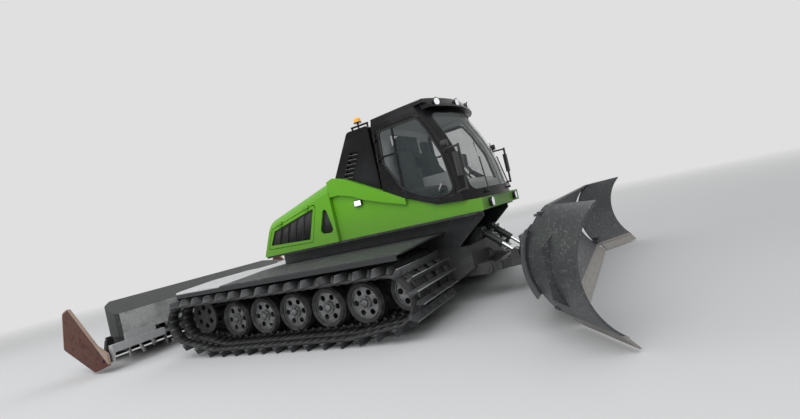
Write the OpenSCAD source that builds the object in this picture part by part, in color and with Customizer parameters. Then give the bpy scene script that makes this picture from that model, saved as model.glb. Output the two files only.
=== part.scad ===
// Snow groomer on two tracks, with a cab, a front blade and a rear tiller.
// Lengths are in millimetres. X points forward, Y to the left and Z up.
// Places along X count from the axle of the rearmost road wheel, heights from the ground.
// The whole machine is then moved back by mid_x, so that the origin lies under its middle.

/* [Track] */
// Width over both tracks
tracks_w = 4200; // [3800:20:4400]
// Width of one track
track_w = 1250; // [1100:10:1300]
// Thickness of the belt
belt_t = 25; // [18:1:32]
// Height of a bar above the belt
bar_h = 90; // [70:1:110]
// Width of a bar at its foot
bar_w = 48; // [36:1:60]
// Wanted distance between bars
bar_pitch = 130; // [120:1:180]
// How much the short bars stop before the outer edge
bar_step = 110; // [60:5:160]

/* [Wheels] */
// Distance between road wheels
wheel_pitch = 600; // [590:5:640]
// Radius of a road wheel's tyre
tyre_r = 285; // [265:1:290]
// Width of a tyre
tyre_w = 200; // [160:5:240]
// Radius of the rim under the tyre
rim_r = 205; // [180:1:220]
// Radius of the front idler wheel
idler_r = 270; // [240:1:285]
// How far the idler's axle is ahead of the last road wheel
idler_ahead = 680; // [640:5:760]
// Height of the idler's axle
idler_z = 480; // [460:1:520]
// Radius of the drive sprocket
sprocket_r = 260; // [240:1:280]
// How far the sprocket's axle is behind the first road wheel
sprocket_behind = 600; // [590:5:660]
// Height of the sprocket's axle
sprocket_z = 520; // [500:1:540]

/* [Tub] */
// Width of the tub between the tracks
tub_w = 1280; // [1200:10:1320]
// Height of the tub's floor
tub_floor = 300; // [270:5:340]
// Height of the tub's deck
tub_top = 780; // [740:5:820]
// Length of the tub behind the first road wheel
tub_rear = 700; // [660:5:740]
// Length of the tub ahead of the first road wheel
tub_front = 3600; // [3500:10:3650]
// Plate thickness of the tub
tub_t = 16; // [12:1:24]

/* [Body] */
// Half width of the body below the shoulder
body_y = 930; // [900:5:950]
// Half width over the shoulder band and the hood
shoulder_y = 990; // [970:5:1010]
// Panel thickness of hood and body
panel_t = 30; // [20:1:40]
// Height of the hood's and body's lower edge
body_bottom = 1210; // [1180:5:1240]
// Place of the hood's rear lower edge
hood_rear = 290; // [250:5:330]
// Place of the seam between hood and shoulder
seam_x = 1795; // [1780:1:1810]
// Height of the hood's top edge at the rear
hood_rear_z = 1760; // [1740:5:1780]
// Height of the hood's top edge at the seam
hood_front_z = 2090; // [2070:5:2100]
// Gap round panels and service doors
seam_gap = 8; // [6:1:12]

/* [Cab] */
// Place of the cab's rear wall
cab_rear = 2680; // [2660:5:2700]
// Half width of the cab at its foot
cab_foot_y = 985; // [970:5:990]
// Half width of the cab at its roof
cab_roof_y = 880; // [850:5:900]
// Height of the cab's roof at the rear wall
roof_rear_z = 2700; // [2660:5:2740]
// Height of the cab's roof above the windscreen
roof_front_z = 2750; // [2720:5:2780]
// Wall thickness of the cab
cab_t = 50; // [40:1:60]
// Door thickness
door_t = 42; // [36:1:46]
// Width of the frame round the door's glass
door_frame = 34; // [28:1:45]
// Glass thickness
glass_t = 8; // [6:1:10]
// Place of the centre that the windscreen curves about
screen_x = 2140; // [2120:5:2160]
// Radius of the windscreen at its waist
screen_r = 1920; // [1900:5:1940]
// Height of the windscreen's waist
screen_z = 1300; // [1250:10:1350]
// Radius of the windscreen's upright curve
screen_bow = 2600; // [2500:20:2800]

/* [Blade] */
// Width of the blade between its wings
blade_w = 3800; // [3600:20:4000]
// Length of a wing
wing_w = 850; // [700:10:900]
// Radius of the curved blade plate
blade_r = 620; // [600:5:660]
// Plate thickness of the blade
blade_t = 20; // [14:1:28]
// Place of the blade's upper edge
blade_x = 4900; // [4860:5:4960]
// Height of the blade's upper edge
blade_top = 1150; // [1100:5:1200]
// Height of the cutting edge above the ground
blade_lift = 30; // [20:1:60]
// How far the cutting edge stands ahead of the blade's upper edge
edge_out = 75; // [50:1:100]
// Rest angle of the wings, forward of the blade's line
wing_rest = 35; // [30:1:40]

/* [Tiller] */
// Width of the tiller's cover
tiller_w = 4400; // [4200:20:4500]
// Place of the cover's front plate
tiller_front = -2000; // [-2040:5:-1980]
// Place of the cover's rear edge
tiller_rear = -2870; // [-2920:5:-2840]
// Height of the cover's front edge
tiller_z = 860; // [840:5:880]
// Height of the cover's rear edge
tiller_top = 1060; // [1040:5:1080]
// Plate thickness of the cover
tiller_t = 20; // [14:1:26]
// Radius over the rotor's tines
rotor_r = 270; // [250:1:275]
// Height of the rotor's axis
rotor_z = 330; // [325:1:345]
// Length of the combs behind the cover
comb_l = 500; // [460:5:540]
// Thickness of a side flap
flap_t = 40; // [30:1:50]

/* [Hidden] */
$fn = 48;

// Clearance at which a piece is seated on its neighbour
seat = 0.3;
// Running clearance of pins in their bores, on the radius
run = 0.08;

nose_x = 4000;
half_w = tracks_w / 2;
track_in = half_w - track_w;
track_mid = half_w - track_w / 2;
wheel_z = bar_h + belt_t + tyre_r + seat;
wheel_count = 5;
last_wheel = (wheel_count - 1) * wheel_pitch;
idler_x = last_wheel + idler_ahead;
sprocket_x = -sprocket_behind;
wheel_xs = [for (k = [0:wheel_count - 1]) k * wheel_pitch];
tub_y = tub_w / 2;

front_tip = blade_x + edge_out * cos(wing_rest) + wing_w * sin(wing_rest);
rear_tip = tiller_rear - comb_l;
mid_x = (front_tip + rear_tip) / 2;

module placed() {
    translate([-mid_x, 0, 0]) children();
}

// Outlines drawn in X and Z, given a thickness from y0 to y1
module across(y0, y1) {
    translate([0, y1, 0]) rotate([90, 0, 0]) linear_extrude(y1 - y0) children();
}

// Outlines drawn in Y and Z, given a length from x0 to x1
module along(x0, x1) {
    translate([x0, 0, 0]) rotate([90, 0, 90]) linear_extrude(x1 - x0) children();
}

// Outlines drawn in X and Y, given a height from z0 to z1
module upright(z0, z1) {
    translate([0, 0, z0]) linear_extrude(z1 - z0) children();
}

// Side shapes are drawn on the right, where Y is negative, and mirrored for the left
module on_side(left) {
    mirror([0, left ? 1 : 0, 0]) children();
}

module both() {
    children();
    mirror([0, 1, 0]) children();
}

// Round bar across the machine
module bar_y(x, z, r, y0, y1) {
    translate([x, y1, z]) rotate([90, 0, 0]) cylinder(r = r, h = y1 - y0);
}

module bar_x(y, z, r, x0, x1) {
    translate([x0, y, z]) rotate([0, 90, 0]) cylinder(r = r, h = x1 - x0);
}

// Round bar from point p to point q
module link(p, q, r) {
    v = q - p;
    translate(p) rotate([0, acos(v[2] / norm(v)), atan2(v[1], v[0])]) cylinder(r = r, h = norm(v));
}

// Hinge about its own Z: the moving leaf lies towards X, the panel's face at hinge_off along Y
hinge_off = 18;
hinge_pin = 8;
hinge_r = 13;

module hinge_fixed() {
    cylinder(r = hinge_pin, h = 100, center = true);
    for (z = [-50, 25]) translate([0, 0, z]) {
        cylinder(r = hinge_r, h = 25);
        translate([-28, 0, 0]) cube([28, hinge_off + 4, 25]);
    }
}

module hinge_moving(foot) {
    difference() {
        union() {
            cylinder(r = hinge_r, h = 46, center = true);
            translate([0, 2, -20]) cube([foot + 26, 9, 40]);
            translate([foot, 2, -20]) cube([26, hinge_off - 1.5, 40]);
        }
        cylinder(r = hinge_pin + run, h = 100, center = true);
    }
}

// Arc that rounds the corner b between a and c
function unit(v) = v / norm(v);
function corner(a, b, c, r, n) = let (
    u = unit(a - b),
    v = unit(c - b),
    half = acos(u * v) / 2,
    m = b + unit(u + v) * r / sin(half),
    p = b + u * r / tan(half) - m,
    q = b + v * r / tan(half) - m,
    a0 = atan2(p[1], p[0]),
    turn = (atan2(q[1], q[0]) - a0 + 540) % 360 - 180
) [for (k = [0:n]) m + r * [cos(a0 + turn * k / n), sin(a0 + turn * k / n)]];

// Outline with its corners rounded, from rows of [x, y, radius]
function rounded(rows, n = 4) = [
    for (i = [0:len(rows) - 1]) let (
        a = rows[(i + len(rows) - 1) % len(rows)],
        b = rows[i],
        c = rows[(i + 1) % len(rows)],
        flat = [b[0], b[1]]
    ) each (b[2] > 0 ? corner([a[0], a[1]], flat, [c[0], c[1]], b[2], n) : [flat])
];

// Track loop. Rows of [x, z, radius to the belt's inner face], in order round the loop
loop = [
    [0, wheel_z, tyre_r + seat],
    [last_wheel, wheel_z, tyre_r + seat],
    [idler_x, idler_z, idler_r + seat],
    [sprocket_x, sprocket_z, sprocket_r + seat]
];
function after(i) = loop[(i + 1) % len(loop)];
function before(i) = (i + len(loop) - 1) % len(loop);
function span(i) = norm([after(i)[0] - loop[i][0], after(i)[1] - loop[i][1]]);
function normal(i) = atan2(after(i)[1] - loop[i][1], after(i)[0] - loop[i][0])
    - acos((loop[i][2] - after(i)[2]) / span(i));
function sweep(i) = (normal(i) - normal(before(i)) + 720) % 360;
function arc_len(i) = (loop[i][2] + belt_t) * sweep(i) * PI / 180;
function leg_len(i) = sqrt(pow(span(i), 2) - pow(loop[i][2] - after(i)[2], 2));
function total(i = 0) = i == len(loop) ? 0 : arc_len(i) + leg_len(i) + total(i + 1);
function ray(a) = [cos(a), sin(a)];
function hub(i) = [loop[i][0], loop[i][1]];

// Place and outward angle on the belt's outer face, at length s round the loop
function station(s, i = 0) =
    s <= arc_len(i) ? let (a = normal(before(i)) + s / (loop[i][2] + belt_t) * 180 / PI)
        [hub(i) + (loop[i][2] + belt_t) * ray(a), a]
    : s <= arc_len(i) + leg_len(i) ? let (a = normal(i))
        [hub(i) + (loop[i][2] + belt_t) * ray(a) + (s - arc_len(i)) * ray(a + 90), a]
    : station(s - arc_len(i) - leg_len(i), i + 1);

// Belt outline at height e above its inner face, its bends in flats of about 15 degrees
function belt(e) = [
    for (i = [0:len(loop) - 1]) let (m = max(1, ceil(sweep(i) / 15)), step = sweep(i) / m)
        for (k = [0:m - 1])
            hub(i) + (loop[i][2] + e) / cos(step / 2) * ray(normal(before(i)) + (k + 0.5) * step)
];

bar_count = 2 * round(total() / bar_pitch / 2);
bar_sink = 8;

module bars(first, h) {
    for (k = [first:2:bar_count - 1]) let (s = station(k * total() / bar_count))
        translate(s[0]) rotate(s[1] - 90)
            polygon([[-bar_w / 2, -bar_sink], [bar_w / 2, -bar_sink], [bar_w / 6, h], [-bar_w / 6, h]]);
}

module track(left) {
    color("dimgray") placed() on_side(left) {
        across(-half_w, -track_in) difference() {
            union() {
                polygon(belt(belt_t));
                bars(0, bar_h);
            }
            polygon(belt(0));
        }
        across(-half_w + bar_step, -track_in) difference() {
            bars(1, bar_h * 0.8);
            polygon(belt(belt_t / 2));
        }
    }
}

// Wheels. Rows of [x, z, outer radius, width]
wheels = concat(
    [for (x = wheel_xs) [x, wheel_z, tyre_r, tyre_w]],
    [[idler_x, idler_z, idler_r, tyre_w]]
);
spindle_r = 45;
hub_r = 85;
rim_lip = 22;
rim_t = 12;

module tyre_row(left) {
    color("black") placed() on_side(left)
        for (w = wheels)
            translate([w[0], -track_mid, w[1]]) rotate([90, 0, 0])
                rotate_extrude() polygon([
                    [rim_r + seat, -w[3] / 2 + 12], [rim_r + seat, w[3] / 2 - 12],
                    [w[2] - 30, w[3] / 2], [w[2], w[3] / 2 - 35],
                    [w[2], -w[3] / 2 + 35], [w[2] - 30, -w[3] / 2]
                ]);
}

module rims() {
    color("silver") placed() both()
        for (w = wheels)
            translate([w[0], -track_mid, w[1]]) rotate([90, 0, 0]) difference() {
                union() {
                    difference() {
                        cylinder(r = rim_r, h = w[3] - 2 * rim_lip, center = true);
                        cylinder(r = rim_r - rim_t, h = w[3], center = true);
                    }
                    translate([0, 0, w[3] / 4]) cylinder(r = rim_r - rim_t / 2, h = rim_t, center = true);
                    cylinder(r = hub_r, h = w[3] - 2 * rim_lip, center = true);
                }
                cylinder(r = spindle_r + seat, h = w[3], center = true);
                for (k = [0:5]) rotate(60 * k) translate([(hub_r + rim_r) / 2, 0, 0])
                    cylinder(r = 38, h = w[3], center = true);
            }
}

arm_y = track_in + 260;
arm_t = 60;
arm_back = 210;
arm_rise = 110;

module axles() {
    color("dimgray") placed() both() {
        for (x = wheel_xs) {
            bar_y(x, wheel_z, spindle_r, -track_mid - tyre_w / 2 + rim_lip, -arm_y);
            across(-arm_y - arm_t, -arm_y) {
                difference() {
                    union() {
                        translate([x, wheel_z]) circle(r = 75);
                        translate([x + arm_back, wheel_z + arm_rise]) circle(r = 90);
                        polygon([
                            [x - 20, wheel_z + 70], [x + 20, wheel_z - 70],
                            [x + arm_back + 40, wheel_z + arm_rise - 78], [x + arm_back - 30, wheel_z + arm_rise + 84]
                        ]);
                    }
                }
            }
            bar_y(x + arm_back, wheel_z + arm_rise, 70, -arm_y, -tub_y - seat);
        }
        bar_y(idler_x, idler_z, spindle_r, -track_mid - tyre_w / 2 + rim_lip, -tub_y - seat);
        bar_y(idler_x, idler_z, 80, -track_mid + tyre_w, -tub_y - seat);
    }
}

drive_y = track_mid - 180;
module sprockets() {
    color("slategray") placed() both() translate([sprocket_x, 0, sprocket_z]) {
        rotate([90, 0, 0]) for (s = [-1, 1]) translate([0, 0, track_mid + s * 150]) difference() {
            cylinder(r = sprocket_r, h = 30, center = true);
            cylinder(r = sprocket_r - 55, h = 40, center = true);
        }
        for (k = [0:9]) rotate([0, 36 * k, 0])
            translate([sprocket_r - 32, -track_mid + 165, 0]) rotate([90, 0, 0]) cylinder(r = 17, h = 330);
        rotate([90, 0, 0]) translate([0, 0, track_mid + 150]) difference() {
            cylinder(r = sprocket_r - 45, h = 18, center = true);
            for (k = [0:5]) rotate(60 * k + 30) translate([145, 0, 0]) cylinder(r = 42, h = 30, center = true);
        }
        rotate([90, 0, 0]) translate([0, 0, tub_y + seat]) cylinder(r = 150, h = 260);
        rotate([90, 0, 0]) translate([0, 0, tub_y + seat]) cylinder(r = 95, h = track_mid + 165 - tub_y);
    }
}

lug_y = 430;
lug_t = 40;
push_x = tub_front + 120;
push_z = 430;
push_pin = 35;
lift_a = [tub_front + 60, 0, 930];
lift_b = [4080, 0, 560];
lift_y = 250;
arm_x = -tub_rear - 100;
arm_z = 560;
tiller_a = [-tub_rear - 60, 0, 900];
tiller_b = [-1500, 0, 685];
tiller_y = 250;

eye_t = 50;
eye_r = 26;
eye_out = 48;
eye_flange = 20;
front_eye = [tub_front + 62, 570];
rear_eye = [-tub_rear - 68, 590];
bay_t = 30;
bay_rear = hood_rear + 60;
bay_front = nose_x - 120;

module lug(x, z, y, r, root) {
    across(y - lug_t / 2, y + lug_t / 2) {
        translate([x, z]) circle(r = r);
        polygon(root);
    }
}

module tub() {
    color("darkslategray") placed() {
        difference() {
            across(-tub_y, tub_y) polygon([
                [-tub_rear, tub_floor + 110], [-tub_rear + 140, tub_floor], [tub_front - 350, tub_floor],
                [tub_front, tub_floor + 180], [tub_front, tub_top], [-tub_rear, tub_top]
            ]);
            across(-tub_y + tub_t, tub_y - tub_t) polygon([
                [-tub_rear + tub_t, tub_floor + 110 + tub_t], [-tub_rear + 140, tub_floor + tub_t],
                [tub_front - 350, tub_floor + tub_t], [tub_front - tub_t, tub_floor + 180 + tub_t],
                [tub_front - tub_t, tub_top - tub_t], [-tub_rear + tub_t, tub_top - tub_t]
            ]);
        }
        both() {
            // Front lugs for the blade's frame and its cylinders
            for (s = [-1, 1]) {
                lug(push_x, push_z, -lug_y + s * 65, 75, [
                    [tub_front - 60, push_z + 75], [push_x, push_z + 75],
                    [push_x + 5, push_z - 74], [tub_front - 250, push_z - 74]
                ]);
                lug(lift_a[0], lift_a[2], -lift_y + s * 55, 55, [
                    [tub_front - 160, tub_top - 4], [tub_front, tub_top - 4],
                    [lift_a[0] + 54, lift_a[2] - 12], [lift_a[0] - 40, lift_a[2] + 40]
                ]);
            }
            // Rear lugs for the tiller's arm and its cylinders
            for (s = [-1, 1]) {
                lug(arm_x, arm_z, -lug_y + s * 65, 75, [
                    [-tub_rear + 4, arm_z - 110], [arm_x, arm_z - 75], [arm_x, arm_z + 75], [-tub_rear + 4, arm_z + 110]
                ]);
                lug(tiller_a[0], tiller_a[2], -tiller_y + s * 55, 55, [
                    [-tub_rear + 120, tub_top - 4], [-tub_rear, tub_top - 4],
                    [tiller_a[0] - 54, tiller_a[2] - 12], [tiller_a[0] + 40, tiller_a[2] + 40]
                ]);
            }
            bar_y(push_x, push_z, push_pin, -lug_y - 100, -lug_y + 100);
            bar_y(arm_x, arm_z, push_pin, -lug_y - 100, -lug_y + 100);
            bar_y(lift_a[0], lift_a[2], 25, -lift_y - 85, -lift_y + 85);
            bar_y(tiller_a[0], tiller_a[2], 25, -tiller_y - 85, -tiller_y + 85);
        }
    }
}

// Plates with an eye for a pin, on a flange that is bolted to the tub: upright in front, flat behind
module tow_eyes() {
    color("dimgray") placed() {
        difference() {
            union() {
                across(-eye_t / 2, eye_t / 2) polygon(rounded([
                    [tub_front + seat, 500, 0], [front_eye[0] + eye_out, 520, 50],
                    [front_eye[0] + eye_out, 620, 50], [tub_front + seat, 640, 0]
                ]));
                translate([tub_front + seat, -80, 500]) cube([eye_flange, 160, 140]);
            }
            bar_y(front_eye[0], front_eye[1], eye_r, -100, 100);
        }
        difference() {
            union() {
                upright(rear_eye[1] - eye_t / 2, rear_eye[1] + eye_t / 2) polygon(rounded([
                    [-tub_rear - seat, -80, 0], [-tub_rear - seat, 80, 0],
                    [rear_eye[0] - eye_out, 55, 50], [rear_eye[0] - eye_out, -55, 50]
                ]));
                translate([-tub_rear - seat - eye_flange, -90, rear_eye[1] - 60]) cube([eye_flange, 180, 120]);
            }
            translate([rear_eye[0], 0, rear_eye[1] - 100]) cylinder(r = eye_r, h = 200);
        }
    }
}

// Bay walls that stand on the deck and carry a shelf under the hood, with the fender's brackets
module deck_frame() {
    color("darkslategray") placed() {
        both() {
            across(-tub_y, -tub_y + bay_t) polygon([
                [bay_rear, tub_top + seat], [tub_front - 150, tub_top + seat], [bay_front, body_bottom - 80],
                [bay_front, body_bottom - seat], [bay_rear, body_bottom - seat]
            ]);
            translate([hood_rear + 20, -shoulder_y + 20, body_bottom - seat - bay_t])
                cube([bay_front - hood_rear - 20, shoulder_y - 20 - tub_y + bay_t, bay_t]);
            for (x = fender_brackets) fender_bracket(x);
            for (x = fender_posts) translate([x, -tub_y + 60, tub_top + seat])
                cube([60, 200, fender_z - tub_top - 2 * seat]);
        }
        translate([hood_rear + 20, -shoulder_y + 21, body_bottom - seat - bay_t])
            cube([70, 2 * shoulder_y - 42, bay_t]);
    }
}

// Bracket that carries the fender from the engine bay's wall
module fender_bracket(x) {
    along(x, x + 20) polygon([
        [-tub_y + 1, fender_z - 170], [-tub_y + 1, fender_z - seat], [-fender_bend, fender_z - seat],
        [-fender_bend, fender_z - 20]
    ]);
}

module engine() {
    color("gray") placed() {
        translate([600, -430, tub_top + seat]) cube([1050, 860, 620]);
        translate([750, -330, tub_top + 600]) cube([750, 660, 260]);
    }
}

// Body under the cab, its shoulder bands and its floor
// Upper edge of body and shoulder, as [x, z]
shoulder = [
    [seam_x + seam_gap, 2085], [1920, 2118], [2110, 2062], [2660, 1770], [3000, 1580], [3430, 1405], [3950, 1365]
];
shoulder_low = [[2670, 1600], [2350, 1710], [2200, 1790], [1960, 1860], [seam_x + seam_gap, 1860]];
floor_z = 1330;

module body() {
    color("yellowgreen") placed() {
        difference() {
            across(-body_y, body_y) polygon(concat(
                [[seam_x + seam_gap, body_bottom], [nose_x, body_bottom], [nose_x, 1365]],
                [for (k = [len(shoulder) - 1:-1:0]) shoulder[k]]
            ));
            // Space under the floor, open below
            across(-body_y + panel_t, body_y - panel_t) polygon([
                [seam_x + seam_gap + panel_t, body_bottom - 1], [nose_x - 130, body_bottom - 1],
                [nose_x - 110, floor_z - panel_t], [2560, floor_z - panel_t], [2560, 1760], [2060, 2020],
                [seam_x + seam_gap + panel_t, 2040]
            ]);
            // Foot space inside the cab
            across(-body_y + panel_t, body_y - panel_t) polygon([
                [cab_rear + cab_t, floor_z], [nose_x - 110, floor_z], [nose_x - 110, 2000], [cab_rear + cab_t, 2000]
            ]);
        }
        both() across(-shoulder_y, -body_y + 1) polygon(concat(
            [for (k = [0:3]) shoulder[k]], [shoulder[4]], [[3000, 1500]], shoulder_low
        ));
    }
}

fender_z = 1000;
fender_t = 25;
fender_lip = 50;
fender_rear = -860;
fender_front = 3300;
fender_out = 2000;
// The fender is flat as far as fender_bend, and falls by fender_drop from there to its outer edge
fender_bend = track_in + 300;
fender_drop = 40;
fender_brackets = [600, 1400, 2200, 3000];
fender_posts = [-500, 100];
function fender_under(y) = fender_z - fender_drop * max(0, y - fender_bend) / (fender_out - fender_bend);

// Half of the fender's section, as [y, z]
fender_half = [
    [-fender_bend, fender_z], [-fender_out + fender_t, fender_under(fender_out - fender_t)],
    [-fender_out + fender_t, fender_z - fender_drop - fender_lip],
    [-fender_out, fender_z - fender_drop - fender_lip], [-fender_out, fender_z + fender_t - fender_drop],
    [-fender_bend, fender_z + fender_t]
];

module platform() {
    color("lightgray") placed() difference() {
        intersection() {
            along(fender_rear - 10, fender_front + 10) polygon([
                for (p = fender_half) p,
                for (k = [len(fender_half) - 1:-1:0]) [-fender_half[k][0], fender_half[k][1]]
            ]);
            upright(0, 2000) polygon(rounded([
                [fender_rear, -fender_out, 300], [fender_front, -fender_out, 120],
                [fender_front, fender_out, 120], [fender_rear, fender_out, 300]
            ]));
        }
        translate([hood_rear + 60 - seat, -tub_y - seat, 0]) cube([5000, tub_w + 2 * seat, 2000]);
        translate([-tub_rear - 200, -tiller_y - 120, 0]) cube([330, 2 * tiller_y + 240, 2000]);
    }
}

mudflap_z = 835;
mudflap_out = 1700;
module mudflaps() {
    color("black") placed() both() along(fender_rear + 5, fender_rear + 25) polygon([
        [-740, mudflap_z], [-740, fender_z - seat], [-fender_bend, fender_z - seat],
        [-mudflap_out, fender_under(mudflap_out) - seat], [-mudflap_out, mudflap_z]
    ]);
}

// Hood: a rounded section along its sloping top, cut by its side outline
hood_slope = atan2(hood_front_z - hood_rear_z, seam_x - hood_rear - 290);
hood_top = [hood_rear + 290, hood_rear_z];
hood_round = 140;

module hood_form(t) {
    intersection() {
        translate([hood_top[0], 0, hood_top[1]]) rotate([0, -hood_slope, 0])
            along(-800, 2200) polygon(rounded([
                [-shoulder_y + t, -1400, 0], [shoulder_y - t, -1400, 0],
                [shoulder_y - t, -t, hood_round - t], [-shoulder_y + t, -t, hood_round - t]
            ]));
        across(-2000, 2000) polygon([
            [hood_rear + t * 1.13, body_bottom - t], [hood_rear + t * 1.13 + 527, body_bottom + 1000 - t],
            [seam_x - t, 2600], [seam_x - t, body_bottom - t]
        ]);
    }
}

// Outlines on the hood's side, as [x, z, corner radius]
hood_door = [[565, 1625, 25], [1535, 1842, 45], [1330, 1280, 25], [400, 1310, 25]];
hood_grille = [[610, 1580, 15], [1460, 1770, 15], [1280, 1330, 15], [480, 1370, 15]];
hood_window = [[1670, 1815, 40], [1755, 1355, 60], [1490, 1372, 50]];
// The hinge line of a service door, along the door's upper edge
hood_door_slope = atan2(hood_door[1][1] - hood_door[0][1], hood_door[1][0] - hood_door[0][0]);

// Places of a service door's two hinges
module at_hood_hinges() {
    for (f = [0.2, 0.8]) let (p = mix(hood_door[0], hood_door[1], f))
        translate([p[0], -shoulder_y - hinge_off, p[1]]) rotate([0, 90 - hood_door_slope, 0]) children();
}

module hood() {
    color("yellowgreen") placed() {
        difference() {
            hood_form(0);
            hood_form(panel_t);
            both() across(-1200, -800) polygon(rounded(hood_door));
            both() across(-1200, -800) polygon(rounded(hood_window));
        }
        both() at_hood_hinges() hinge_fixed();
    }
}

grille_bars = 4;
// Thickness of a service door's sheet
leaf_t = 12;
module hood_door_shape() {
    difference() {
        across(-shoulder_y, -shoulder_y + leaf_t) offset_inward(hood_door, seam_gap);
        across(-1200, -800) polygon(rounded(hood_grille));
    }
    // Slanting grille bars between the opening's lower and upper edges
    for (k = [1:grille_bars]) let (
        f = k / (grille_bars + 1),
        lo = mix(hood_grille[3], hood_grille[2], f),
        hi = mix(hood_grille[0], hood_grille[1], f)
    ) across(-shoulder_y + 2, -shoulder_y + leaf_t - 2)
        polygon([[lo[0] - 12, lo[1] - 15], [lo[0] + 12, lo[1] - 15], [hi[0] + 12, hi[1] + 15], [hi[0] - 12, hi[1] + 15]]);
}

function mix(a, b, f) = [a[0] + (b[0] - a[0]) * f, a[1] + (b[1] - a[1]) * f];

// A convex outline moved inward by a gap: each corner moves along its own bisector
function inward(rows, gap) = [
    for (i = [0:len(rows) - 1]) let (
        a = rows[(i + len(rows) - 1) % len(rows)],
        b = rows[i],
        c = rows[(i + 1) % len(rows)],
        u = unit([a[0] - b[0], a[1] - b[1]]),
        v = unit([c[0] - b[0], c[1] - b[1]]),
        half = acos(u * v) / 2,
        d = unit(u + v) * gap / sin(half)
    ) [b[0] + d[0], b[1] + d[1], b[2]]
];
module offset_inward(rows, gap) {
    polygon(rounded(inward(rows, gap)));
}

module hood_door_node(left) {
    color("olivedrab") placed() on_side(left) {
        hood_door_shape();
        at_hood_hinges() hinge_moving(14);
    }
}

// Two towers behind the cab carry the louvres, with a low wall between them
tower_in = 540;
tower_out = 905;
tower_top = 2690;
tower_front = 2635;
louvres = 6;

module towers() {
    color("black") placed() {
        both() difference() {
            across(-tower_out, -tower_in) polygon(rounded([
                [shoulder[1][0], shoulder[1][1] + seat, 0], [2285, tower_top, 70],
                [tower_front, tower_top, 30], [tower_front, 1783 + seat, 0], [shoulder[2][0], shoulder[2][1] + seat, 0]
            ]));
            for (k = [0:louvres - 1]) let (x = 2080 + 34 * k, z = 2075 + 58 * k)
                across(-tower_out - 10, -tower_out + 35) polygon([[x, z], [x + 150, z - 14], [x + 162, z + 18], [x + 12, z + 32]]);
        }
        across(-tower_in, tower_in) polygon([
            [2200, 2020], [2200, 2200], [2260, 2240], [2560, 2240], [2560, 1828]
        ]);
        // Grab rails on top
        both() {
            link([2330, -800, tower_top - 5], [2330, -800, tower_top + 60], 14);
            link([2590, -800, tower_top - 5], [2590, -800, tower_top + 60], 14);
            link([2316, -800, tower_top + 60], [2604, -800, tower_top + 60], 14);
        }
    }
}

// Cab: a tapered section, a side outline and the windscreen's barrel, all moved in by t
cab_lean = atan2(cab_foot_y - cab_roof_y, roof_rear_z - 1400);
function cab_y(z) = cab_foot_y - (z - 1400) * tan(cab_lean);

function barrel(t) = [for (k = [0:10]) let (z = 1000 + 190 * k)
    [screen_r - t - (screen_bow - sqrt(pow(screen_bow, 2) - pow(z - screen_z, 2))), z]];

module barrel_form(t) {
    translate([screen_x, 0, 0]) rotate_extrude($fn = 360)
        polygon(concat([[0, 1000]], barrel(t), [[0, 2900]]));
}

module cab_form(t) {
    intersection() {
        across(-1200, 1200) polygon([
            [cab_rear + t, 1000], [4300, 1000], [4300, roof_front_z + 20 - t], [3640, roof_front_z - t],
            [cab_rear + t, roof_rear_z - t]
        ]);
        along(2000, 4400) polygon(rounded([
            [-cab_y(1000) + t, 1000, 0], [cab_y(1000) - t, 1000, 0],
            [cab_y(2800) - t, 2800 - t, 150], [-cab_y(2800) + t, 2800 - t, 150]
        ]));
        barrel_form(t);
    }
}

// Everything above the body's upper edge
module above_body(gap) {
    across(-1300, 1300) polygon(concat(
        [for (k = [2:len(shoulder) - 1]) [shoulder[k][0], shoulder[k][1] + gap]],
        [[4400, shoulder[6][1] + gap], [4400, 3200], [shoulder[2][0], 3200]]
    ));
}

// Door outline on the side, as [x, z, corner radius]
door_rows = [
    [2742, 2590, 60], [2732, 2110, 70], [2965, 1690, 60], [3210, 1545, 150], [3470, 1462, 120],
    [3735, 1490, 90], [3655, 2020, 400], [3500, 2400, 400], [3385, 2600, 60]
];
screen_rows = [[-835, 1480, 110], [835, 1480, 110], [775, 2600, 130], [-775, 2600, 130]];
rear_rows = [[-480, 2050, 60], [480, 2050, 60], [480, 2560, 60], [-480, 2560, 60]];

// Places of a door's two hinges, on the cab's leaning side
door_hinge_x = cab_rear + 31;
module at_door_hinges() {
    for (z = [2200, 2480])
        translate([door_hinge_x, -cab_y(z) - hinge_off / cos(cab_lean), z]) rotate([-cab_lean, 0, 0]) children();
}

module cab_shell() {
    color("black") placed() {
        difference() {
            intersection() {
                cab_form(0);
                above_body(seat);
            }
            cab_form(cab_t);
            both() across(-1200, -700) offset_inward(door_rows, -seam_gap);
            along(3000, 4400) polygon(rounded(screen_rows));
            along(2500, 2900) polygon(rounded(rear_rows));
        }
        both() at_door_hinges() hinge_fixed();
    }
}

// Windscreen and rear window
module cab_glass() {
    color("lightblue", 0.4) placed() {
        intersection() {
            difference() {
                cab_form(12);
                cab_form(12 + glass_t);
            }
            along(3000, 4400) offset_inward(screen_rows, seat);
        }
        along(cab_rear + 12, cab_rear + 12 + glass_t) offset_inward(rear_rows, seat);
    }
}

module door(left) {
    color("black") placed() on_side(left) {
        difference() {
            intersection() {
                cab_form(0);
                across(-1200, -600) polygon(rounded(door_rows));
            }
            cab_form(door_t);
            across(-1200, -600) offset_inward(door_rows, door_frame);
        }
        // Bars of the sliding window, on the outside of the glass
        intersection() {
            difference() {
                cab_form(2);
                cab_form(12 - seat);
            }
            across(-1200, -600) polygon(rounded(door_rows));
            union() {
                translate([2976, -1200, 1500]) cube([28, 600, 1200]);
                translate([2700, -1200, 2190]) cube([290, 600, 28]);
            }
        }
        at_door_hinges() hinge_moving(36);
    }
}

module door_glass(left) {
    color("lightblue", 0.4) placed() on_side(left) intersection() {
        difference() {
            cab_form(12);
            cab_form(12 + glass_t);
        }
        across(-1200, -600) offset_inward(door_rows, door_frame + seat);
    }
}

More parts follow.
